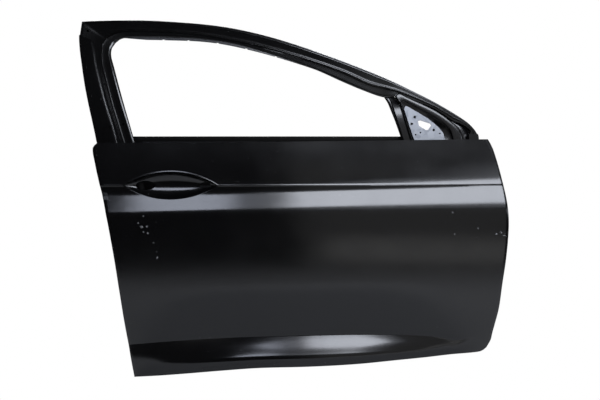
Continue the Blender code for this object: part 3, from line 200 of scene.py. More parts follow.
# The outer skin again, finer than the solid, with rounder creases and a rounder recess rim
skin = {
    # outlines: x of an upright edge at each z, z of a lengthwise line at each x
    "rearEdge": [(-562, -992), (-503, -1003), (-414, -1018.5), (-325, -1032), (-236, -1046), (-147, -1063),
                 (-100, -1074), (-58, -1086), (-13, -1099), (33, -1111), (79, -1120), (93.5, -1109)],
    "frontEdge": [(-481, -9), (-461, 2), (-439, 7), (-416, 13), (-371, 24), (-304, 33), (-237, 43),
                  (-170, 50), (-125, 52), (-80, 50), (-35, 45), (11, 37), (57, 26), (80, 19), (105, 7.5)],
    "bottomEdge": [(-992, -562), (-920, -558), (-842, -552), (-748, -544), (-642, -536), (-502, -531.5),
                   (-374, -524.5), (-258, -514), (-174, -506.5), (-107, -499.5), (-37, -494), (-20, -490),
                   (-9, -481)],
    "lowerCrease": [(-1012, -473), (-920, -466), (-767, -458), (-503, -449.5), (-377, -447), (-252, -447),
                    (-168, -450), (-121, -456), (-93, -461), (-40, -450), (9, -430)],
    # bow of the whole door in plan
    "beltY": -42.0, "bowFront": 24.0, "bowRear": 5.0, "bowCentre": 0.45,
    "lengthRear": -1100.0, "lengthFront": 50.0,
    # the hand recess on the crease: its lens outline, and how its bowl rounds along and across
    "creaseZ": -28.0, "recessX": -895.5, "recessLength": 268.0, "recessHeight": 79.0, "recessDepth": 24.0,
    "roundAlong": 0.6, "roundAcross": 2.2, "recessColumns": 44, "recessRings": 22, "rimShare": 0.012,
    "columnCrowding": 0.6,
    "holes": [(-968.5, 55.0, 27.0, 40), (-799.0, 33.0, 19.0, 28), (-1002.0, 5.2, 5.2, 16)],
    # the hollow over the lower crease: at each end the share of the length where it stops and the
    # share that it fades over
    "scoopDepth": 17.5, "scoopRise": 150.0, "scoopShare": 0.68, "scoopStraight": 0.45,
    "scoopRear": (0.02, 0.3), "scoopFront": (0.92, 0.31), "scoopDeeper": 0.16, "deeperFrom": (0.52, 0.2),
    # close rows beside a crease, and the rolled bead on the upper one
    "tight": 1.1, "bead": 0.5, "beadShare": 0.7, "beadFrom": 0.93,
    # the folded hem: how far out and how far back, then its width
    "hemRoll": [(0.7, 0.35), (1.0, 1.1), (1.0, 2.3), (0.6, 3.2), (0, 3.6)], "hemWidth": 9.0,
    "beltFacing": 0.95,  # a border that faces up more than this is the belt edge
    "sheet": 0.8, "columnStep": 9.0, "rowStep": 7.0, "cutLength": 100.0, "sharpAngle": 60,
}


def smooth(points):
    # A smooth function through (q, value) points, straight beyond its ends
    last = len(points) - 1
    slopes = []
    for i in range(last + 1):
        before, after = points[max(i - 1, 0)], points[min(i + 1, last)]
        slopes.append((after[1] - before[1]) / (after[0] - before[0]))

    def value(q):
        if q <= points[0][0]:
            return points[0][1] + slopes[0] * (q - points[0][0])
        if q >= points[last][0]:
            return points[last][1] + slopes[last] * (q - points[last][0])
        i = 0
        while q > points[i + 1][0]:
            i += 1
        step = points[i + 1][0] - points[i][0]
        t = (q - points[i][0]) / step
        rise = points[i + 1][1] - points[i][1]
        bend = slopes[i] * (1 - t) * step - slopes[i + 1] * t * step + rise * (2 * t - 1)
        return points[i][1] + rise * t + t * (1 - t) * bend

    return value


def evenly(values):
    # The same through values at even steps from 0 to 1
    last = len(values) - 1
    return smooth([(i / last, v) for i, v in enumerate(values)])


def mix(a, b, t):
    return a + (b - a) * t


rearEdge, frontEdge = smooth(skin["rearEdge"]), smooth(skin["frontEdge"])
bottomEdge, lowerCrease = smooth(skin["bottomEdge"]), smooth(skin["lowerCrease"])

# Each row from the belt down: its heights along the length, the skin's tilt in degrees above it and,
# where it differs, below it, and its share of the way from the lower crease to the bottom edge
rowTable = [
    ((93.5, 97.3, 105.0), (17.5, 16.5, 15.5), None, None),
    ((79.0, 81.0, 84.0), (17, 17, 16), None, None),
    ((35.0, 37.0, 39.0), (15, 16, 17), None, None),
    ((-8.0, -8.0, -6.0), (14, 15, 21), None, None),
    ((-28.0, -28.0, -28.0), (14, 15, 19, 27, 32), (-4, 0, 26), None),
    ((-63.0, -61.0, -51.0, -43.0, -36.0), (30, 30.5, 30), None, None),
    ((-99.0, -82.0, -70.0), (32, 29.5, 27), None, None),
    ((-104.0, -94.0, -86.0), (24, 22, 21.5), None, None),
    ((-109.0, -104.0, -97.0), (18, 18, 17.5), None, None),
    ((-116.0, -116.0, -109.0), (11, 8, 9), None, None),
    ((-165.0, -165.0, -165.0), (4.4, 2.5, 2.8), None, None),
    ((-300.0, -300.0, -300.0), (-2, -2, -2), None, None),
    ((-473.0, -430.0), (-8, -9, -9, -9, -7), (5, 14, 24, 20, -7), 0.0),
    ((-497.0, -444.0), (6, 15, 25, 21, -7), None, 0.27),
    ((-521.0, -457.0), (1, 3, 7, 5, -8), None, 0.52),
    ((-541.0, -469.0), (-4, -5, -5, -6, -9), None, 0.76),
    ((-562.0, -481.0), (-4, -6, -7, -8, -9), None, 1.0),
]
creaseRow, recessFootRow, scoopRow = 4, 10, 12


def rowHeight(heights, share):
    if share is None:
        return evenly(heights)

    def height(s):
        x = mix(rearEdge(heights[0]), frontEdge(heights[1]), s)
        return mix(lowerCrease(x), bottomEdge(x), share)

    return height


# Each row as functions of the share of the length: height, tilt above it, tilt below it
rows = [(rowHeight(heights, share), evenly(above), evenly(below or above))
        for heights, above, below, share in rowTable]


def planBow(x):
    s = (x - skin["lengthRear"]) / (skin["lengthFront"] - skin["lengthRear"])
    centre = skin["bowCentre"]
    if s > centre:
        return skin["bowFront"] * ((s - centre) / (1 - centre)) ** 2
    return skin["bowRear"] * ((centre - s) / centre) ** 2


def ease(t):
    t = min(max(t, 0.0), 1.0)
    return t * t * (3 - 2 * t)


def scoopSink(x, z, s):
    # The hollow over the lower crease, which makes the scoop under it face the lamps
    crease = lowerCrease(x)
    foot = mix(crease, bottomEdge(x), skin["scoopShare"])
    if z > crease:
        f = ease(1 - (z - crease) / skin["scoopRise"])
    else:
        u = min((crease - z) / (crease - foot), 1.0)
        f = 1 - u * mix(u * u, 1.0, skin["scoopStraight"])
    (rear, rearFade), (front, frontFade) = skin["scoopRear"], skin["scoopFront"]
    (start, startFade) = skin["deeperFrom"]
    deeper = 1 + skin["scoopDeeper"] * ease((start - s) / startFade)
    return skin["scoopDepth"] * f * deeper * ease((s - rear) / rearFade) * ease((front - s) / frontFade)


def skinY(x, z):
    # Sums the rows' tilts from the belt down to z
    rear, front = rearEdge(z), frontEdge(z)
    s = min(max((x - rear) / (front - rear), 0.0), 1.0)
    y = skin["beltY"] + planBow(x)
    top = rows[0][0](s)
    for upper, lower in zip(rows, rows[1:]):
        foot = lower[0](s)
        if z < top and foot < top:
            t = min((top - z) / (top - foot), 1.0)
            start = math.tan(math.radians(upper[2](s)))
            end = math.tan(math.radians(lower[1](s)))
            y -= (top - foot) * t * (start + (end - start) * t / 2)
        if z >= foot:
            break
        top = foot
    return y + scoopSink(x, z, s)


def recessHalf(x):
    # Half the height of the lens outline, two arcs that meet in a tip at each end
    half, rise = skin["recessLength"] / 2, skin["recessHeight"] / 2
    if abs(x - skin["recessX"]) >= half:
        return 0.0
    radius = (half * half + rise * rise) / (2 * rise)
    return math.sqrt(radius ** 2 - (x - skin["recessX"]) ** 2) - (radius - rise)


def recessSink(x, f):
    along = (x - skin["recessX"]) / (skin["recessLength"] / 2)
    across = 1 - abs(2 * f - 1) ** skin["roundAcross"]
    return skin["recessDepth"] * max(1 - along * along, 0.0) ** skin["roundAlong"] * across


def skinLines(measuredAt=0.4):
    # (row, share) pairs with close ones at each side of a crease
    lines = []
    for number in range(len(rows) - 1):
        height = rows[number][0](measuredAt) - rows[number + 1][0](measuredAt)
        count = max(2, round(height / skin["rowStep"]))
        shares = [k / count for k in range(count)]
        tight = skin["tight"] / height
        if number in (creaseRow, scoopRow):
            shares.insert(1, tight)
        if number + 1 in (creaseRow, scoopRow):
            shares += [1 - 2 * tight, 1 - tight]
        lines += [(number, share) for share in shares]
    return lines + [(len(rows) - 1, 0.0)]


def lineHeight(line, s):
    number, share = line
    z = rows[number][0](s)
    return mix(z, rows[number + 1][0](s), share) if share else z


def skinPoint(line, s, below):
    # A point of the skin's grid, which bends round the recess above and below the crease
    creaseZ = skin["creaseZ"]
    x = mix(rearEdge(lineHeight(line, 0.0)), frontEdge(lineHeight(line, 1.0)), s)
    z = lineHeight(line, s)
    creaseX = mix(rearEdge(creaseZ), frontEdge(creaseZ), s)
    half = recessHalf(creaseX)
    if half and not below:
        top = rows[0][0](s)
        z = top - (top - z) * (top - creaseZ - half) / (top - creaseZ)
        x = mix(creaseX, x, (z - creaseZ - half) / (top - creaseZ - half))
    if half and below and line[0] < recessFootRow:
        foot = rows[recessFootRow][0](s)
        z = foot + (z - foot) * (creaseZ - half - foot) / (creaseZ - foot)
        x = mix(creaseX, x, (creaseZ - half - z) / (creaseZ - half - foot))
    lift = 0.0
    if not below and line == (creaseRow, 0.0):
        lift = skin["bead"]
    elif not below and line[0] == creaseRow - 1 and line[1] > skin["beadFrom"]:
        lift = skin["bead"] * skin["beadShare"]
    return Vector((x, skinY(x, z) - lift, z))


def outwardNormals(loop, leastMitre=0.6):
    # Mitred normals in the side view for a loop of (x, y, z)
    count = len(loop)
    found = []
    for i in range(count):
        before, here, after = loop[i - 1], loop[i], loop[(i + 1) % count]
        come = Vector((here[0] - before[0], here[2] - before[2])).normalized()
        go = Vector((after[0] - here[0], after[2] - here[2])).normalized()
        a, b = Vector((-come.y, come.x)), Vector((-go.y, go.x))
        middle = (a + b).normalized()
        found.append(middle / max(middle.dot(a), leastMitre))
    return found


def squareOff(n, steep=2.5):
    # Keeps a fold's inner edge square to a nearly upright or level border
    if abs(n.x) > steep * abs(n.y):
        return Vector((1 / n.x, 0))
    if abs(n.y) > steep * abs(n.x):
        return Vector((0, 1 / n.y))
    return n


def addVertex(shape, point):
    return shape.verts.new(Vector(point) * mm)


def bridge(shape, ring, other, closed=False):
    count = len(ring)
    for i in range(count if closed else count - 1):
        k = (i + 1) % count
        corners = list(dict.fromkeys([ring[i], ring[k], other[k], other[i]]))
        if len(corners) > 2:
            shape.faces.new(corners)


outside = Vector((0, -1, 0))


def finishSheet(name, shape, facing, thickness, material, sharpAngle=40):
    # Turns an open surface to one side, gives it its thickness inwards, and smooth shading with
    # hard edges where it bends by more than the sharp angle
    bmesh.ops.recalc_face_normals(shape, faces=shape.faces)
    shape.normal_update()
    if sum(face.normal.dot(facing) * face.calc_area() for face in shape.faces) < 0:
        bmesh.ops.reverse_faces(shape, faces=shape.faces)
    mesh = bpy.data.meshes.new(name)
    shape.to_mesh(mesh)
    shape.free()
    mesh.materials.append(material)
    mesh.shade_smooth()
    mesh.set_sharp_from_angle(angle=math.radians(sharpAngle))
    piece = bpy.data.objects.new(name, mesh)
    scene.collection.objects.link(piece)
    solid = piece.modifiers.new("sheet", "SOLIDIFY")
    solid.thickness = thickness * mm
    solid.offset = -1.0
    return piece


def applyModifiers(piece):
    graph = bpy.context.evaluated_depsgraph_get()
    mesh = bpy.data.meshes.new_from_object(piece.evaluated_get(graph))
    piece.modifiers.clear()
    piece.data = mesh
    return piece


def cutOut(piece, name, outline, y, length):
    # A hole straight through along Y, from its outline of (x, z)
    shape = bmesh.new()
    rings = [[addVertex(shape, (x, y + side * length / 2, z)) for x, z in outline] for side in (-1, 1)]
    bridge(shape, rings[0], rings[1], True)
    for ring in rings:
        shape.faces.new(ring)
    bmesh.ops.recalc_face_normals(shape, faces=shape.faces)
    mesh = bpy.data.meshes.new(name)
    shape.to_mesh(mesh)
    shape.free()
    tool = bpy.data.objects.new(name, mesh)
    scene.collection.objects.link(tool)
    cut = piece.modifiers.new(name, "BOOLEAN")
    cut.operation = "DIFFERENCE"
    cut.object = tool
    applyModifiers(piece)
    bpy.data.objects.remove(tool)


def oval(x, z, length, height, sides=16):
    turn = 2 * math.pi / sides
    return [(x + math.cos(turn * i) * length / 2, z + math.sin(turn * i) * height / 2)
            for i in range(sides)]


def skinColumns():
    # Shares along the length, crowded towards the recess's tips, and the tips' column numbers
    creaseZ = skin["creaseZ"]
    rear, front = rearEdge(creaseZ), frontEdge(creaseZ)
    reach = skin["recessLength"] / 2
    tips = [(skin["recessX"] + side * reach - rear) / (front - rear) for side in (-1, 1)]
    step = skin["columnStep"] / (front - rear)
    rearCount, frontCount = round(tips[0] / step), round((1 - tips[1]) / step)
    inside = skin["recessColumns"]
    columns = [tips[0] * i / rearCount for i in range(rearCount)]
    for i in range(inside + 1):
        eased = (1 - math.cos(math.pi * i / inside)) / 2
        columns.append(mix(tips[0], tips[1], mix(i / inside, eased, skin["columnCrowding"])))
    columns += [mix(tips[1], 1.0, i / frontCount) for i in range(1, frontCount + 1)]
    return columns, rearCount, rearCount + inside


def addBowl(shape, upperRim, lowerRim, upperPoints, lowerPoints):
    # The recess's bowl, from its lower rim to its upper one, which share both tips
    rings, last = skin["recessRings"], len(upperRim) - 1
    shares = [(1 - math.cos(math.pi * k / rings)) / 2 for k in range(2, rings - 1)]
    bowl = [lowerRim]
    for f in [skin["rimShare"]] + shares + [1 - skin["rimShare"]]:
        ring = [upperRim[0]]
        for i in range(1, last):
            point = lowerPoints[i].lerp(upperPoints[i], f)
            point.y += recessSink(point.x, f)
            ring.append(addVertex(shape, point))
        bowl.append(ring + [upperRim[last]])
    bowl.append(upperRim)
    for row, following in zip(bowl, bowl[1:]):
        bridge(shape, row, following)


def aroundGrid(grid):
    # The grid's border as one loop
    return (grid[0] + [row[-1] for row in grid[1:]] + grid[-1][-2::-1]
            + [row[0] for row in grid[1:-1]][::-1])


def addHem(shape, ring, border):
    normals = outwardNormals(border)
    roll = [(bulge, back, 0) for bulge, back in skin["hemRoll"]]
    for bulge, back, inset in roll + [(0, skin["hemRoll"][-1][1], skin["hemWidth"])]:
        following = []
        for (x, y, z), n in zip(border, normals):
            aside = squareOff(n) if inset else n
            swell = 0 if n.y > skin["beltFacing"] else bulge  # the belt is folded sharp
            px, pz = x + aside.x * (swell - inset), z + aside.y * (swell - inset)
            following.append(addVertex(shape, (px, (skinY(px, pz) if inset else y) + back, pz)))
        bridge(shape, ring, following, True)
        ring = following


def makeSkin():
    columns, tipRear, tipFront = skinColumns()
    lines = skinLines()
    firstBelow = next(i for i, line in enumerate(lines) if line[0] == creaseRow)
    upper = [[skinPoint(line, s, False) for s in columns] for line in lines[:firstBelow + 1]]
    lower = [[skinPoint(line, s, True) for s in columns] for line in lines[firstBelow:]]
    shape = bmesh.new()
    upperRows = [[addVertex(shape, point) for point in row] for row in upper]
    rim = upperRows[-1]
    lowerRows = [[addVertex(shape, point) if number > 0 or tipRear < i < tipFront else rim[i]
                  for i, point in enumerate(row)] for number, row in enumerate(lower)]
    for grid in (upperRows, lowerRows):
        for row, following in zip(grid, grid[1:]):
            bridge(shape, row, following)
    within = slice(tipRear, tipFront + 1)
    addBowl(shape, rim[within], lowerRows[0][within], upper[-1][within], lower[0][within])
    addHem(shape, aroundGrid(upperRows + lowerRows[1:]), aroundGrid(upper + lower[1:]))
    piece = finishSheet("skin_in_primer", shape, outside, skin["sheet"], skinPrimer, skin["sharpAngle"])
    applyModifiers(piece)
    for number, (x, length, height, sides) in enumerate(skin["holes"]):
        outline = oval(x, skin["creaseZ"], length, height, sides)
        cutOut(piece, f"skin_hole_{number}", outline, skin["beltY"], skin["cutLength"])
    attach(piece, "root")
    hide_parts("outer_panel")
    print("skin ready:", len(piece.data.polygons), "faces")


makeSkin()

# The window frame, with the fine bends of its section that the solid leaves out
window = {
    # (x, z) of the outer edge, of the ridge's inner edge and of the window edge, from the rear foot
    # over the header to the front foot
    "rows": [
        ((-1094, 62), (-1028, 62), (-1000, 62)), ((-1108, 92), (-1033, 92), (-1003, 92)),
        ((-1114.5, 118), (-1041.5, 118), (-1011.5, 118)), ((-1124, 155), (-1054, 155), (-1023.5, 155.5)),
        ((-1139, 211), (-1074, 211), (-1041.5, 211)), ((-1153, 267), (-1091, 266), (-1058, 263)),
        ((-1166, 328), (-1109, 326), (-1075, 318)), ((-1176, 376), (-1115, 362), (-1087, 356)),
        ((-1182, 420), (-1115, 390), (-1086.5, 381)), ((-1180.5, 462.4), (-1107, 408), (-1078, 396)),
        ((-1160, 463.9), (-1091, 418.5), (-1067, 406)), ((-1112, 465.4), (-1069.5, 428.4), (-1054, 411.5)),
        ((-1055, 466.2), (-1040, 431.5), (-1035, 415)), ((-985, 465.5), (-985, 430.5), (-985, 416)),
        ((-905, 460.8), (-907, 427), (-910, 414)), ((-812.7, 452.6), (-820, 417.5), (-824, 409.3)),
        ((-725, 439), (-735, 402), (-739, 396.5)), ((-637, 417.5), (-650, 382), (-653, 373)),
        ((-552, 391), (-565, 357.5), (-568, 344)), ((-465, 359.5), (-478, 329), (-482, 311)),
        ((-385, 328.5), (-400, 300), (-404, 274.5)), ((-315, 299.5), (-332, 267.5), (-338, 246)),
        ((-270, 279.5), (-281, 255), (-287, 229)), ((-226, 257.5), (-240, 244), (-248, 231)),
        ((-155, 221), (-163, 211.5), (-166, 206)), ((-112, 196.4), (-120, 188), (-123.5, 183.5)),
        ((-78, 175), (-87, 167), (-91, 160.5)), ((-62, 164.5), (-67, 158), (-71, 153)),
        ((-44.7, 151), (-49.5, 146.5), (-53, 143.5)), ((-30, 135), (-35, 132), (-39, 129.5)),
        ((-21.5, 121.5), (-30, 121), (-44, 120.5)), ((-16.5, 110), (-27, 109), (-46, 108)),
        ((-20, 62), (-29, 62), (-48, 62))],
    "straight": (8, 10),  # rows between which the outline keeps its corner
    "steps": 4,           # sections for each row
    # the face leans inboard as it rises, and leans more the higher it is
    "slope": 0.19, "radius": 1000.0, "baseY": -34.0, "baseZ": 94.0,
    # distance from the outer edge, depth, and 1 where the land before it stands upright or 2 where
    # it faces the lamps
    "outerBends": [(0, 12, 0), (0, 1.0, 0), (0.3, 0.4, 0), (0.8, 0.3, 0), (6.6, 0.3, 1), (6.9, 0.3, 2),
                   (7.9, 0.3, 2), (8.3, 1.9, 0), (17.0, 1.9, 1)],
    # the same from the inner edge of the ridge
    "ridgeBends": [(9.2, 1.9, 1), (8.2, 1.9, 2), (7.9, 3.2, 0), (5.6, 3.2, 1), (4.7, 3.2, 2), (4.4, 4.6, 0),
                   (0.8, 4.6, 1), (0, 5.6, 0)],
    "upright": 0.10, "lampSlope": 0.55,  # how much an upright land leans, and one that faces the lamps
    # the glass run inside the ridge: distance and depth of its first bends, and how much of the run
    # each may take
    "runBends": [(1.0, 15.7), (2.2, 16.0)], "bendShare": 0.3, "runDepth": 16.0, "runShare": 0.6,
    "parts": {0: 2, 3: 2, 7: 2, 8: 2, 14: 2, 18: 3},  # lands made of more than one strip
    # a section narrower than this is made smaller, its depth less so
    "fullWidth": 34.5, "depthShare": 1.15, "sheet": 1.0,
    "holes": [(-1161.0, 433.0, 3.5), (-1039.6, 149.4, 3.0)], "holeLength": 60.0,
}


def between(p0, p1, p2, p3, f):
    # A smooth curve from p1 to p2, bent to pass on to p0 and p3
    squared, cubed = 2 * p0 - 5 * p1 + 4 * p2 - p3, 3 * p1 - p0 - 3 * p2 + p3
    return 0.5 * (2 * p1 + (p2 - p0) * f + squared * f ** 2 + cubed * f ** 3)


def glide(points, t):
    # A smooth curve through points, read at a row number with a share
    last = len(points) - 1
    i = min(int(t), last - 1)
    f = t - i
    p0, p1, p2, p3 = (Vector(points[min(max(k, 0), last)]) for k in range(i - 1, i + 3))
    if window["straight"][0] <= t <= window["straight"][1]:
        return p1.lerp(p2, f)
    return between(p0, p1, p2, p3, f)


def frameRow(t):
    return [glide([row[k] for row in window["rows"]], t) for k in range(3)]


def frameY(x, z, depth=0.0):
    rise = z - window["baseZ"]
    lean = window["slope"] * rise + rise * rise / (2 * window["radius"])
    return window["baseY"] + planBow(x) + lean + depth


def towards(start, end, distance):
    return start + (end - start).normalized() * distance


def frameLean(t):
    # How far the frame leans inboard for each millimetre along its section, and how upright
    # that section is
    outer, ridge = frameRow(t)[:2]
    fall = max((outer - ridge).normalized().y, 0.0)
    return (window["slope"] + (ridge.y - window["baseZ"]) / window["radius"]) * fall, fall


def densify(stations, parts):
    # Extra stations on long lands, so that a hole's edges and the shading stay small
    found = [stations[0]]
    for number, ((p, h), (q, g)) in enumerate(zip(stations, stations[1:])):
        count = parts.get(number, 1)
        found += [(p.lerp(q, k / count), mix(h, g, k / count)) for k in range(1, count + 1)]
    return found


def frameSection(t):
    outer, ridge, edge = frameRow(t)
    width, run = (ridge - outer).length, (edge - ridge).length
    lean, fall = frameLean(t)
    gains = (0.0, max(lean - window["upright"] * fall, 0.0), lean - window["lampSlope"] * fall)
    scale = min(1.0, width / window["fullWidth"])
    deep = min(1.0, scale * window["depthShare"])
    found, sunk, last = [], 0.0, 0.0
    bends = [(d * scale, h, up) for d, h, up in window["outerBends"]]
    bends += [(width - d * scale, h, up) for d, h, up in window["ridgeBends"]]
    for d, h, kind in bends:
        sunk += (d - last) * gains[kind]
        found.append((towards(outer, ridge, d), (h + sunk) * (deep if d else 1)))
        last = d
    for k, (d, h) in enumerate(window["runBends"], 1):
        found.append((towards(ridge, edge, min(d, run * window["bendShare"] * k)), h * deep))
    found.append((edge, window["runDepth"] * deep + run * gains[1] * window["runShare"]))
    return [Vector((p.x, frameY(p.x, p.y, h), p.y)) for p, h in densify(found, window["parts"])]


def sweepSheet(name, sections, thickness, material, sharpAngle=35):
    shape = bmesh.new()
    lines = [[addVertex(shape, point) for point in section] for section in sections]
    for line, following in zip(lines, lines[1:]):
        bridge(shape, line, following)
    return applyModifiers(finishSheet(name, shape, outside, thickness, material, sharpAngle))


def seatOn(piece, replaced):
    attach(piece, "root")
    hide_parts(replaced)


def frameStops():
    last, steps = len(window["rows"]) - 1, window["steps"]
    return [i + k / steps for i in range(last) for k in range(steps)] + [float(last)]


def makeFrameSkin():
    piece = sweepSheet("frame_skin", [frameSection(t) for t in frameStops()], window["sheet"], framePrimer)
    for number, (x, z, radius) in enumerate(window["holes"]):
        outline = oval(x, z, 2 * radius, 2 * radius)
        cutOut(piece, f"frame_hole_{number}", outline, frameY(x, z), window["holeLength"])
    seatOn(piece, "upper_frame_outer")
    print("frame skin ready:", len(piece.data.polygons), "faces")


# The frame's inner hat, a box section behind the frame whose lip shows in the window
hat = {
    "boxDepth": 38.0, "clearance": 4.6, "boxSpan": 42.0, "seat": 0.35, "sheet": 1.0,
    "lastRow": 22,  # it ends before the front foot
    # rows between which the lip stands out, and how many rows it grows over at each end
    "header": (11.0, 19.0), "lip": 10.0, "lipGrows": (2, 3),
    # x of the lip's small notches, half their width, their depth and the width of their sides
    "notches": (-934.0, -858.0, -769.0, -686.0, -601.0),
    "notchHalf": 2.6, "notchDepth": 2.2, "notchEdge": 0.5, "halvings": 30,
    # the pan's belt strip, which the hat's foot follows: height, depth
    "footZ": 116.0, "belt": [(66.0, 46.0), (96.0, 14.0), (115.0, 12.0)],
}


def innerBeltY(x, z):
    (z0, y0), (z1, y1), (z2, y2) = hat["belt"]
    if z < z1:
        return mix(y0, y1 + planBow(x), (z - z0) / (z1 - z0))
    return mix(y1, y2, (z - z1) / (z2 - z1)) + planBow(x)


def lipReach(t):
    (start, end), (grows, shrinks) = hat["header"], hat["lipGrows"]
    if t < start or t > end:
        return 0.0
    return hat["lip"] * min(1.0, (t - start) / grows, (end - t) / shrinks)


def hatSection(t, trim=0.0):
    # trim is how much of the lip a notch takes away
    outer, ridge, edge = frameRow(t)
    scale = min(1.0, (edge - outer).length / hat["boxSpan"])
    lip = max(lipReach(t) - trim, 0.0)
    free = edge + (edge - ridge).normalized() * lip
    lean, fall = frameLean(t)
    run = window["runDepth"] * min(1.0, scale * window["depthShare"]) + hat["sheet"] + hat["seat"]
    run += (edge - ridge).length * max(lean - window["upright"] * fall, 0.0) * window["runShare"]
    width = (free - outer).length
    near, far, deep = hat["clearance"], width - lip, hat["boxDepth"]
    stations = [(near, 6.0), (near, run), (near + 5 * scale, deep), (far - 12 * scale, deep),
                (far - 6 * scale, run), (far - 3 * scale, run), (width - 1.2, run), (width, run + 1.0)]
    found = []
    for distance, h in stations:
        p = towards(outer, free, distance)
        y = frameY(p.x, p.y, h)
        if h == deep and outer.y <= hat["footZ"]:
            y = innerBeltY(p.x, max(p.y, hat["belt"][1][0])) - hat["seat"] - hat["sheet"]
        found.append(Vector((p.x, y, p.y)))
    return found


def stopAt(x):
    # Row number where the window's edge passes x, on the header, found by halving
    low, high = hat["header"]
    for _ in range(hat["halvings"]):
        middle = (low + high) / 2
        low, high = (middle, high) if frameRow(middle)[2].x < x else (low, middle)
    return low


def makeFrameHat():
    stops = [(t, 0.0) for t in frameStops() if t <= hat["lastRow"]]
    half, edge = hat["notchHalf"], hat["notchEdge"]
    for x in hat["notches"]:
        inside = [(stopAt(x + dx), hat["notchDepth"] * deep)
                  for dx, deep in ((-half - edge, 0), (-half, 1), (half, 1), (half + edge, 0))]
        stops = [stop for stop in stops if not inside[0][0] <= stop[0] <= inside[-1][0]] + inside
    stops.sort()
    piece = sweepSheet("frame_hat", [hatSection(*stop) for stop in stops], hat["sheet"], lipPrimer)
    seatOn(piece, "upper_frame_inner")
    print("frame hat ready:", len(piece.data.polygons), "faces")


# The flat cover over the frame's rear upright, with its joggled flange along the window
pillar = {
    # row number of the frame, width
    "widths": [(0.73, 62), (1, 63), (2, 62), (3, 60), (4, 55), (5, 52), (6, 47), (7, 50), (7.8, 48),
               (7.9, 44), (7.96, 38)],
    "stops": [0.73] + [k / 4 for k in range(3, 31)] + [7.6, 7.7, 7.8, 7.85, 7.9, 7.93, 7.96],
    "overhang": 2.5, "return": 3.0, "face": -1.95, "fold": 5.0, "flange": 6.5, "step": 1.3, "sheet": 1.2,
    "hole": (-1075.6, 138.8, 3.2), "holeLength": 16.0, "faceStrips": 6,
}


def onFrame(t, distance, depth):
    p = towards(*frameRow(t)[:2], distance)
    return Vector((p.x, frameY(p.x, p.y, depth), p.y))


def makePillarPlate():
    width = smooth(pillar["widths"])
    left, face = -pillar["overhang"], pillar["face"]
    low = face + pillar["step"]
    sections = []
    for t in pillar["stops"]:
        right = width(t)
        joggle = right - pillar["flange"]
        section = [(left, pillar["return"]), (left, face + 0.7), (left + 0.7, face), (joggle - 2, face),
                   (joggle - 1.4, face + 0.3), (joggle - 0.6, low), (joggle, low + 0.2),
                   (right - 0.8, low + 0.2), (right - 0.1, low + 0.8), (right, pillar["fold"])]
        across = densify([(Vector((d, 0)), h) for d, h in section], {2: pillar["faceStrips"]})
        sections.append([onFrame(t, d.x, h) for d, h in across])
    piece = sweepSheet("pillar_cover", sections, pillar["sheet"], framePrimer)
    x, z, radius = pillar["hole"]
    outline = oval(x, z, 2 * radius, 2 * radius)
    cutOut(piece, "pillar_hole", outline, frameY(x, z), pillar["holeLength"])
    seatOn(piece, "b_pillar_plate")
    print("pillar cover ready:", len(piece.data.polygons), "faces")


# The sail at the frame's front foot: a dish with a crowned rim, and a flange behind the frame
sail = {
    "outer": [(-253, 231), (-247, 239), (-239, 239), (-215, 226), (-161, 201), (-124, 179.5), (-97, 158.5),
              (-74, 137), (-65.5, 120), (-62.5, 106), (-61, 88), (-108, 88), (-155, 88), (-206, 88),
              (-209, 95), (-215.7, 117), (-229, 164), (-240.5, 209)],
    "inner": [(-240, 211.5), (-237, 216.5), (-230, 217.5), (-215.5, 211.5), (-161, 181.5), (-136, 166),
              (-115.5, 151), (-99.5, 134), (-93.5, 118), (-91, 104), (-89, 93), (-120, 93), (-160, 93),
              (-203, 93), (-206, 99), (-212.5, 119), (-226.5, 164), (-236.5, 203)],
    "flange": [2, 3, 3, 9, 9, 9, 14, 26, 32, 27, 17, 2, 2, 2, 3, 3, 3, 3],  # its width at each outer point
    "opening": [(-194, 142), (-197, 162), (-186, 167), (-152, 156), (-147, 146), (-158, 127), (-170, 126)],
    "straight": (10, 13),  # points between which the outline is straight, along the foot
    "flangeDepth": 11.3, "depth": 13.0, "middle": (-165.0, 140.0), "sheet": 1.0, "steps": 4,
    # share of the way from the outer edge to the inner one, depth
    "crown": [(0.0, 3.4), (0.03, 1.9), (0.10, 1.0), (0.25, 0.35), (0.5, 0.0), (0.75, 0.1), (0.92, 0.5),
              (0.98, 1.0), (1.0, 2.0)],
    # the dish's wall and the bend into its floor: how far inside the inner edge, how far off the floor
    "wall": [(0.9, 3.0), (1.6, 0.5), (2.4, 0.0)],
}


def roundLoop(values):
    # A closed smooth curve through the values, straight along the foot
    count, found = len(values), []
    for i in range(count):
        p0, p1, p2, p3 = (Vector(values[(i + k) % count]) for k in (-1, 0, 1, 2))
        for k in range(sail["steps"]):
            f = k / sail["steps"]
            onFoot = sail["straight"][0] <= i <= sail["straight"][1]
            found.append(p1.lerp(p2, f) if onFoot else between(p0, p1, p2, p3, f))
    return found


def onSide(ring, depth):
    # (x, z) points brought to a depth below the frame's face
    return [(p.x, frameY(p.x, p.y, depth), p.y) for p in ring]


def sailFloor(x, z):
    # A plane through the dish's middle
    cx, cz = sail["middle"]
    rise = (frameY(cx, cz + 1) - frameY(cx, cz - 1)) / 2
    run = (frameY(cx + 1, cz) - frameY(cx - 1, cz)) / 2
    return frameY(cx, cz) + run * (x - cx) + rise * (z - cz) + sail["depth"]


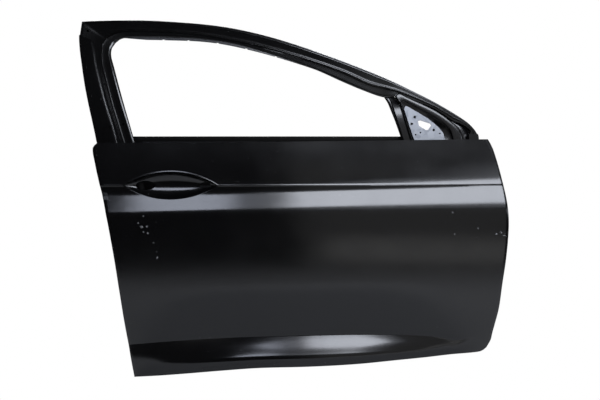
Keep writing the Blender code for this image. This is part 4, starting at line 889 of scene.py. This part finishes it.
def makeSail():
    outer, inner = roundLoop(sail["outer"]), roundLoop(sail["inner"])
    outerNormals, innerNormals = (outwardNormals([(p.x, 0, p.y) for p in loop]) for loop in (outer, inner))
    widths = zip(sail["flange"], sail["flange"][1:] + sail["flange"][:1])
    reach = [mix(a, b, k / sail["steps"]) for a, b in widths for k in range(sail["steps"])]
    flange = [p + n * w for p, n, w in zip(outer, outerNormals, reach)]
    rings = [onSide(flange, sail["flangeDepth"]), onSide(outer, sail["flangeDepth"])]
    for share, depth in sail["crown"]:
        rings.append(onSide([p.lerp(q, share) for p, q in zip(outer, inner)], depth))
    for inset, lift in sail["wall"]:
        ring = [p - n * inset for p, n in zip(inner, innerNormals)]
        rings.append([(p.x, sailFloor(p.x, p.y) - lift, p.y) for p in ring])
    shape = bmesh.new()
    made = [[addVertex(shape, point) for point in ring] for ring in rings]
    for ring, following in zip(made, made[1:]):
        bridge(shape, ring, following, closed=True)
    hole = [addVertex(shape, (x, sailFloor(x, z), z)) for x, z in sail["opening"]]
    edges = []
    for ring in (made[-1], hole):
        for a, b in zip(ring, ring[1:] + ring[:1]):
            edges.append(shape.edges.get((a, b)) or shape.edges.new((a, b)))
    bmesh.ops.triangle_fill(shape, use_beauty=True, use_dissolve=False, edges=edges)
    piece = applyModifiers(finishSheet("sail_dish", shape, outside, sail["sheet"], framePrimer))
    seatOn(piece, "sail_frame")
    print("sail ready:", len(piece.data.polygons), "faces")


# The upright bar between the window and the sail, which runs on down inside the door
bar = {
    # height, window edge, rear edge and front edge of its face, depth of the face
    "rows": [(236, -290, -276, -259, 17.5), (224, -283.3, -270.2, -252.3, 15.0),
             (211, -276, -264.5, -245.5, 9.5), (196, -270.4, -260.2, -241.2, 4.0),
             (180, -264.5, -255.7, -236.7, 1.0), (160, -257, -250, -231, 0), (111, -241, -236, -217.5, 0),
             (62, -227, -222, -204, 0), (0, -213, -205, -187, 0), (-60, -200, -188, -170, 0),
             (-140, -178, -165, -147, 0), (-200, -162, -148, -130, 0), (-225, -158, -142, -124, 0)],
    "depth": 14.4, "leg": 9.8, "leastFall": 1.5, "sheet": 1.0, "step": 12.0,
}


def makeBar():
    columns = [smooth([(row[0], row[k]) for row in reversed(bar["rows"])]) for k in range(1, 5)]
    top, foot = bar["rows"][0][0], bar["rows"][-1][0]
    count = round((top - foot) / bar["step"])
    rows = []
    for i in range(count + 1):
        z = top + (foot - top) * i / count
        edge, rear, front, face = (column(z) for column in columns)
        face = max(face, 0.0)
        deep, leg = (max(bar[side], face + bar["leastFall"]) for side in ("depth", "leg"))
        section = [(edge, deep), (rear - 2.4, deep), (rear - 1.6, deep - 0.8), (rear - 0.5, face + 0.9),
                   (rear + 0.4, face), (front - 1.0, face), (front - 0.1, face + 0.9), (front + 1, leg)]
        rows.append([Vector((x, frameY(x, z, h), z)) for x, h in section])
    piece = sweepSheet("window_bar", rows, bar["sheet"], framePrimer)
    seatOn(piece, "division_bar")
    print("bar ready:", len(piece.data.polygons), "faces")


makeFrameSkin()
makeFrameHat()
makePillarPlate()
makeSail()
makeBar()

# Floor, surroundings, lamps and camera
studio = {"floorZ": -566.0, "floorReach": 12000, "floorColour": "#f4f4f4", "worldLevel": 0.03}

# Centre, what it points at, width and height in metres, brightness of its face, colour
lamps = {
    "left_softbox": ((-1.19, -1.375, 2.01), (-1.19, -0.05, -0.11), 0.50, 0.75, 8.0, "#e6edff"),
    "right_softbox": ((0.21, -1.375, 2.01), (0.21, -0.05, -0.11), 1.78, 0.75, 12.5, "#eff4ff"),
    "right_skirt": ((0.25, -1.76, 1.66), (0.25, -0.05, -0.11), 1.7, 0.5, 1.0, "#eff4ff"),
    "front_panel": ((0.35, -2.825, 0.67), (0.35, -1.575, -0.89), 1.9, 2.2, 0.32, "#ffffff"),
    "side_panel": ((1.9, -1.9, 1.1), (-0.2, 0.0, 0.1), 1.0, 0.9, 3.0, "#eff4ff"),
    "low_panel": ((0.6, -3.7, -0.24), (0.2, 0.0, -0.24), 2.1, 0.42, 0.9, "#ffffff"),
    "back_softbox": ((-0.5, 2.4, 1.6), (-0.5, 0.0, -0.1), 2.6, 1.4, 9.0, "#ffffff"),
}


def makeFloor():
    shape = bmesh.new()
    reach = studio["floorReach"]
    corners = ((-reach, -reach), (reach, -reach), (reach, reach), (-reach, reach))
    shape.faces.new([addVertex(shape, (x, y, studio["floorZ"])) for x, y in corners])
    mesh = bpy.data.meshes.new("studio_floor")
    shape.to_mesh(mesh)
    shape.free()
    floor = bpy.data.objects.new("studio_floor", mesh)
    scene.collection.objects.link(floor)
    paper, tree, output = newMaterial("studio_paper")  # matt paper that the camera sees as plain white
    path = addNode(tree, "ShaderNodeLightPath")
    matt = addNode(tree, "ShaderNodeBsdfDiffuse", None, {"Color": hexColour(studio["floorColour"])})
    glow = addNode(tree, "ShaderNodeEmission", None, {"Color": (1, 1, 1, 1), "Strength": 1.0})
    fade = addNode(tree, "ShaderNodeMixShader", None,
                   {0: path.outputs["Is Camera Ray"], 1: matt.outputs[0], 2: glow.outputs[0]})
    tree.links.new(fade.outputs[0], output.inputs["Surface"])
    mesh.materials.append(paper)


def makeWorld():
    world = bpy.data.worlds.new("studio")
    scene.world = world
    world.use_nodes = True
    tree = world.node_tree
    tree.nodes.clear()
    path = addNode(tree, "ShaderNodeLightPath")
    clear = addNode(tree, "ShaderNodeMath", {"operation": "MAXIMUM"},
                    {0: path.outputs["Is Camera Ray"], 1: path.outputs["Is Transmission Ray"]})
    dim, white = (addNode(tree, "ShaderNodeBackground", None, {"Color": (1, 1, 1, 1), "Strength": strength})
                  for strength in (studio["worldLevel"], 1.0))
    choose = addNode(tree, "ShaderNodeMixShader", None,
                     {0: clear.outputs[0], 1: dim.outputs[0], 2: white.outputs[0]})
    end = addNode(tree, "ShaderNodeOutputWorld")
    tree.links.new(choose.outputs[0], end.inputs["Surface"])


def addSoftbox(name, centre, target, width, height, level, colour):
    # level is the brightness of its face, so a larger box gives more light
    lamp = bpy.data.lights.new(name, "AREA")
    lamp.shape = "RECTANGLE"
    lamp.size, lamp.size_y = width, height
    lamp.energy = level * math.pi * width * height
    lamp.color = hexColour(colour)[:3]
    box = bpy.data.objects.new(name, lamp)
    box.location = centre
    box.rotation_euler = (Vector(target) - Vector(centre)).to_track_quat("-Z", "Y").to_euler()
    box.visible_camera = False
    scene.collection.objects.link(box)
    return box


def flagOff(box, *names):
    # Keeps a lamp off these pieces, as a black card beside it would
    flagged = bpy.data.collections.new(box.name + "_flag")
    for name in names:
        flagged.objects.link(bpy.data.objects[name])
    for entry in flagged.collection_objects:
        entry.light_linking.link_state = "EXCLUDE"
    box.light_linking.receiver_collection = flagged


# A level view square to the door's side, from near its middle
view = {"lens": 68.57, "sensor": 36.0, "place": (-0.5305, -3.295, -0.0692), "tilt": 90}


def addCamera():
    camera = bpy.data.objects.new("camera", bpy.data.cameras.new("camera"))
    camera.data.lens = view["lens"]
    camera.data.sensor_width = view["sensor"]
    camera.location = view["place"]
    camera.rotation_euler = (math.radians(view["tilt"]), 0, 0)
    scene.collection.objects.link(camera)
    scene.camera = camera


makeFloor()
makeWorld()
softboxes = {name: addSoftbox(name, *settings) for name, settings in lamps.items()}
flagOff(softboxes["left_softbox"], "frame_skin", "pillar_cover")
addCamera()
print("studio ready")
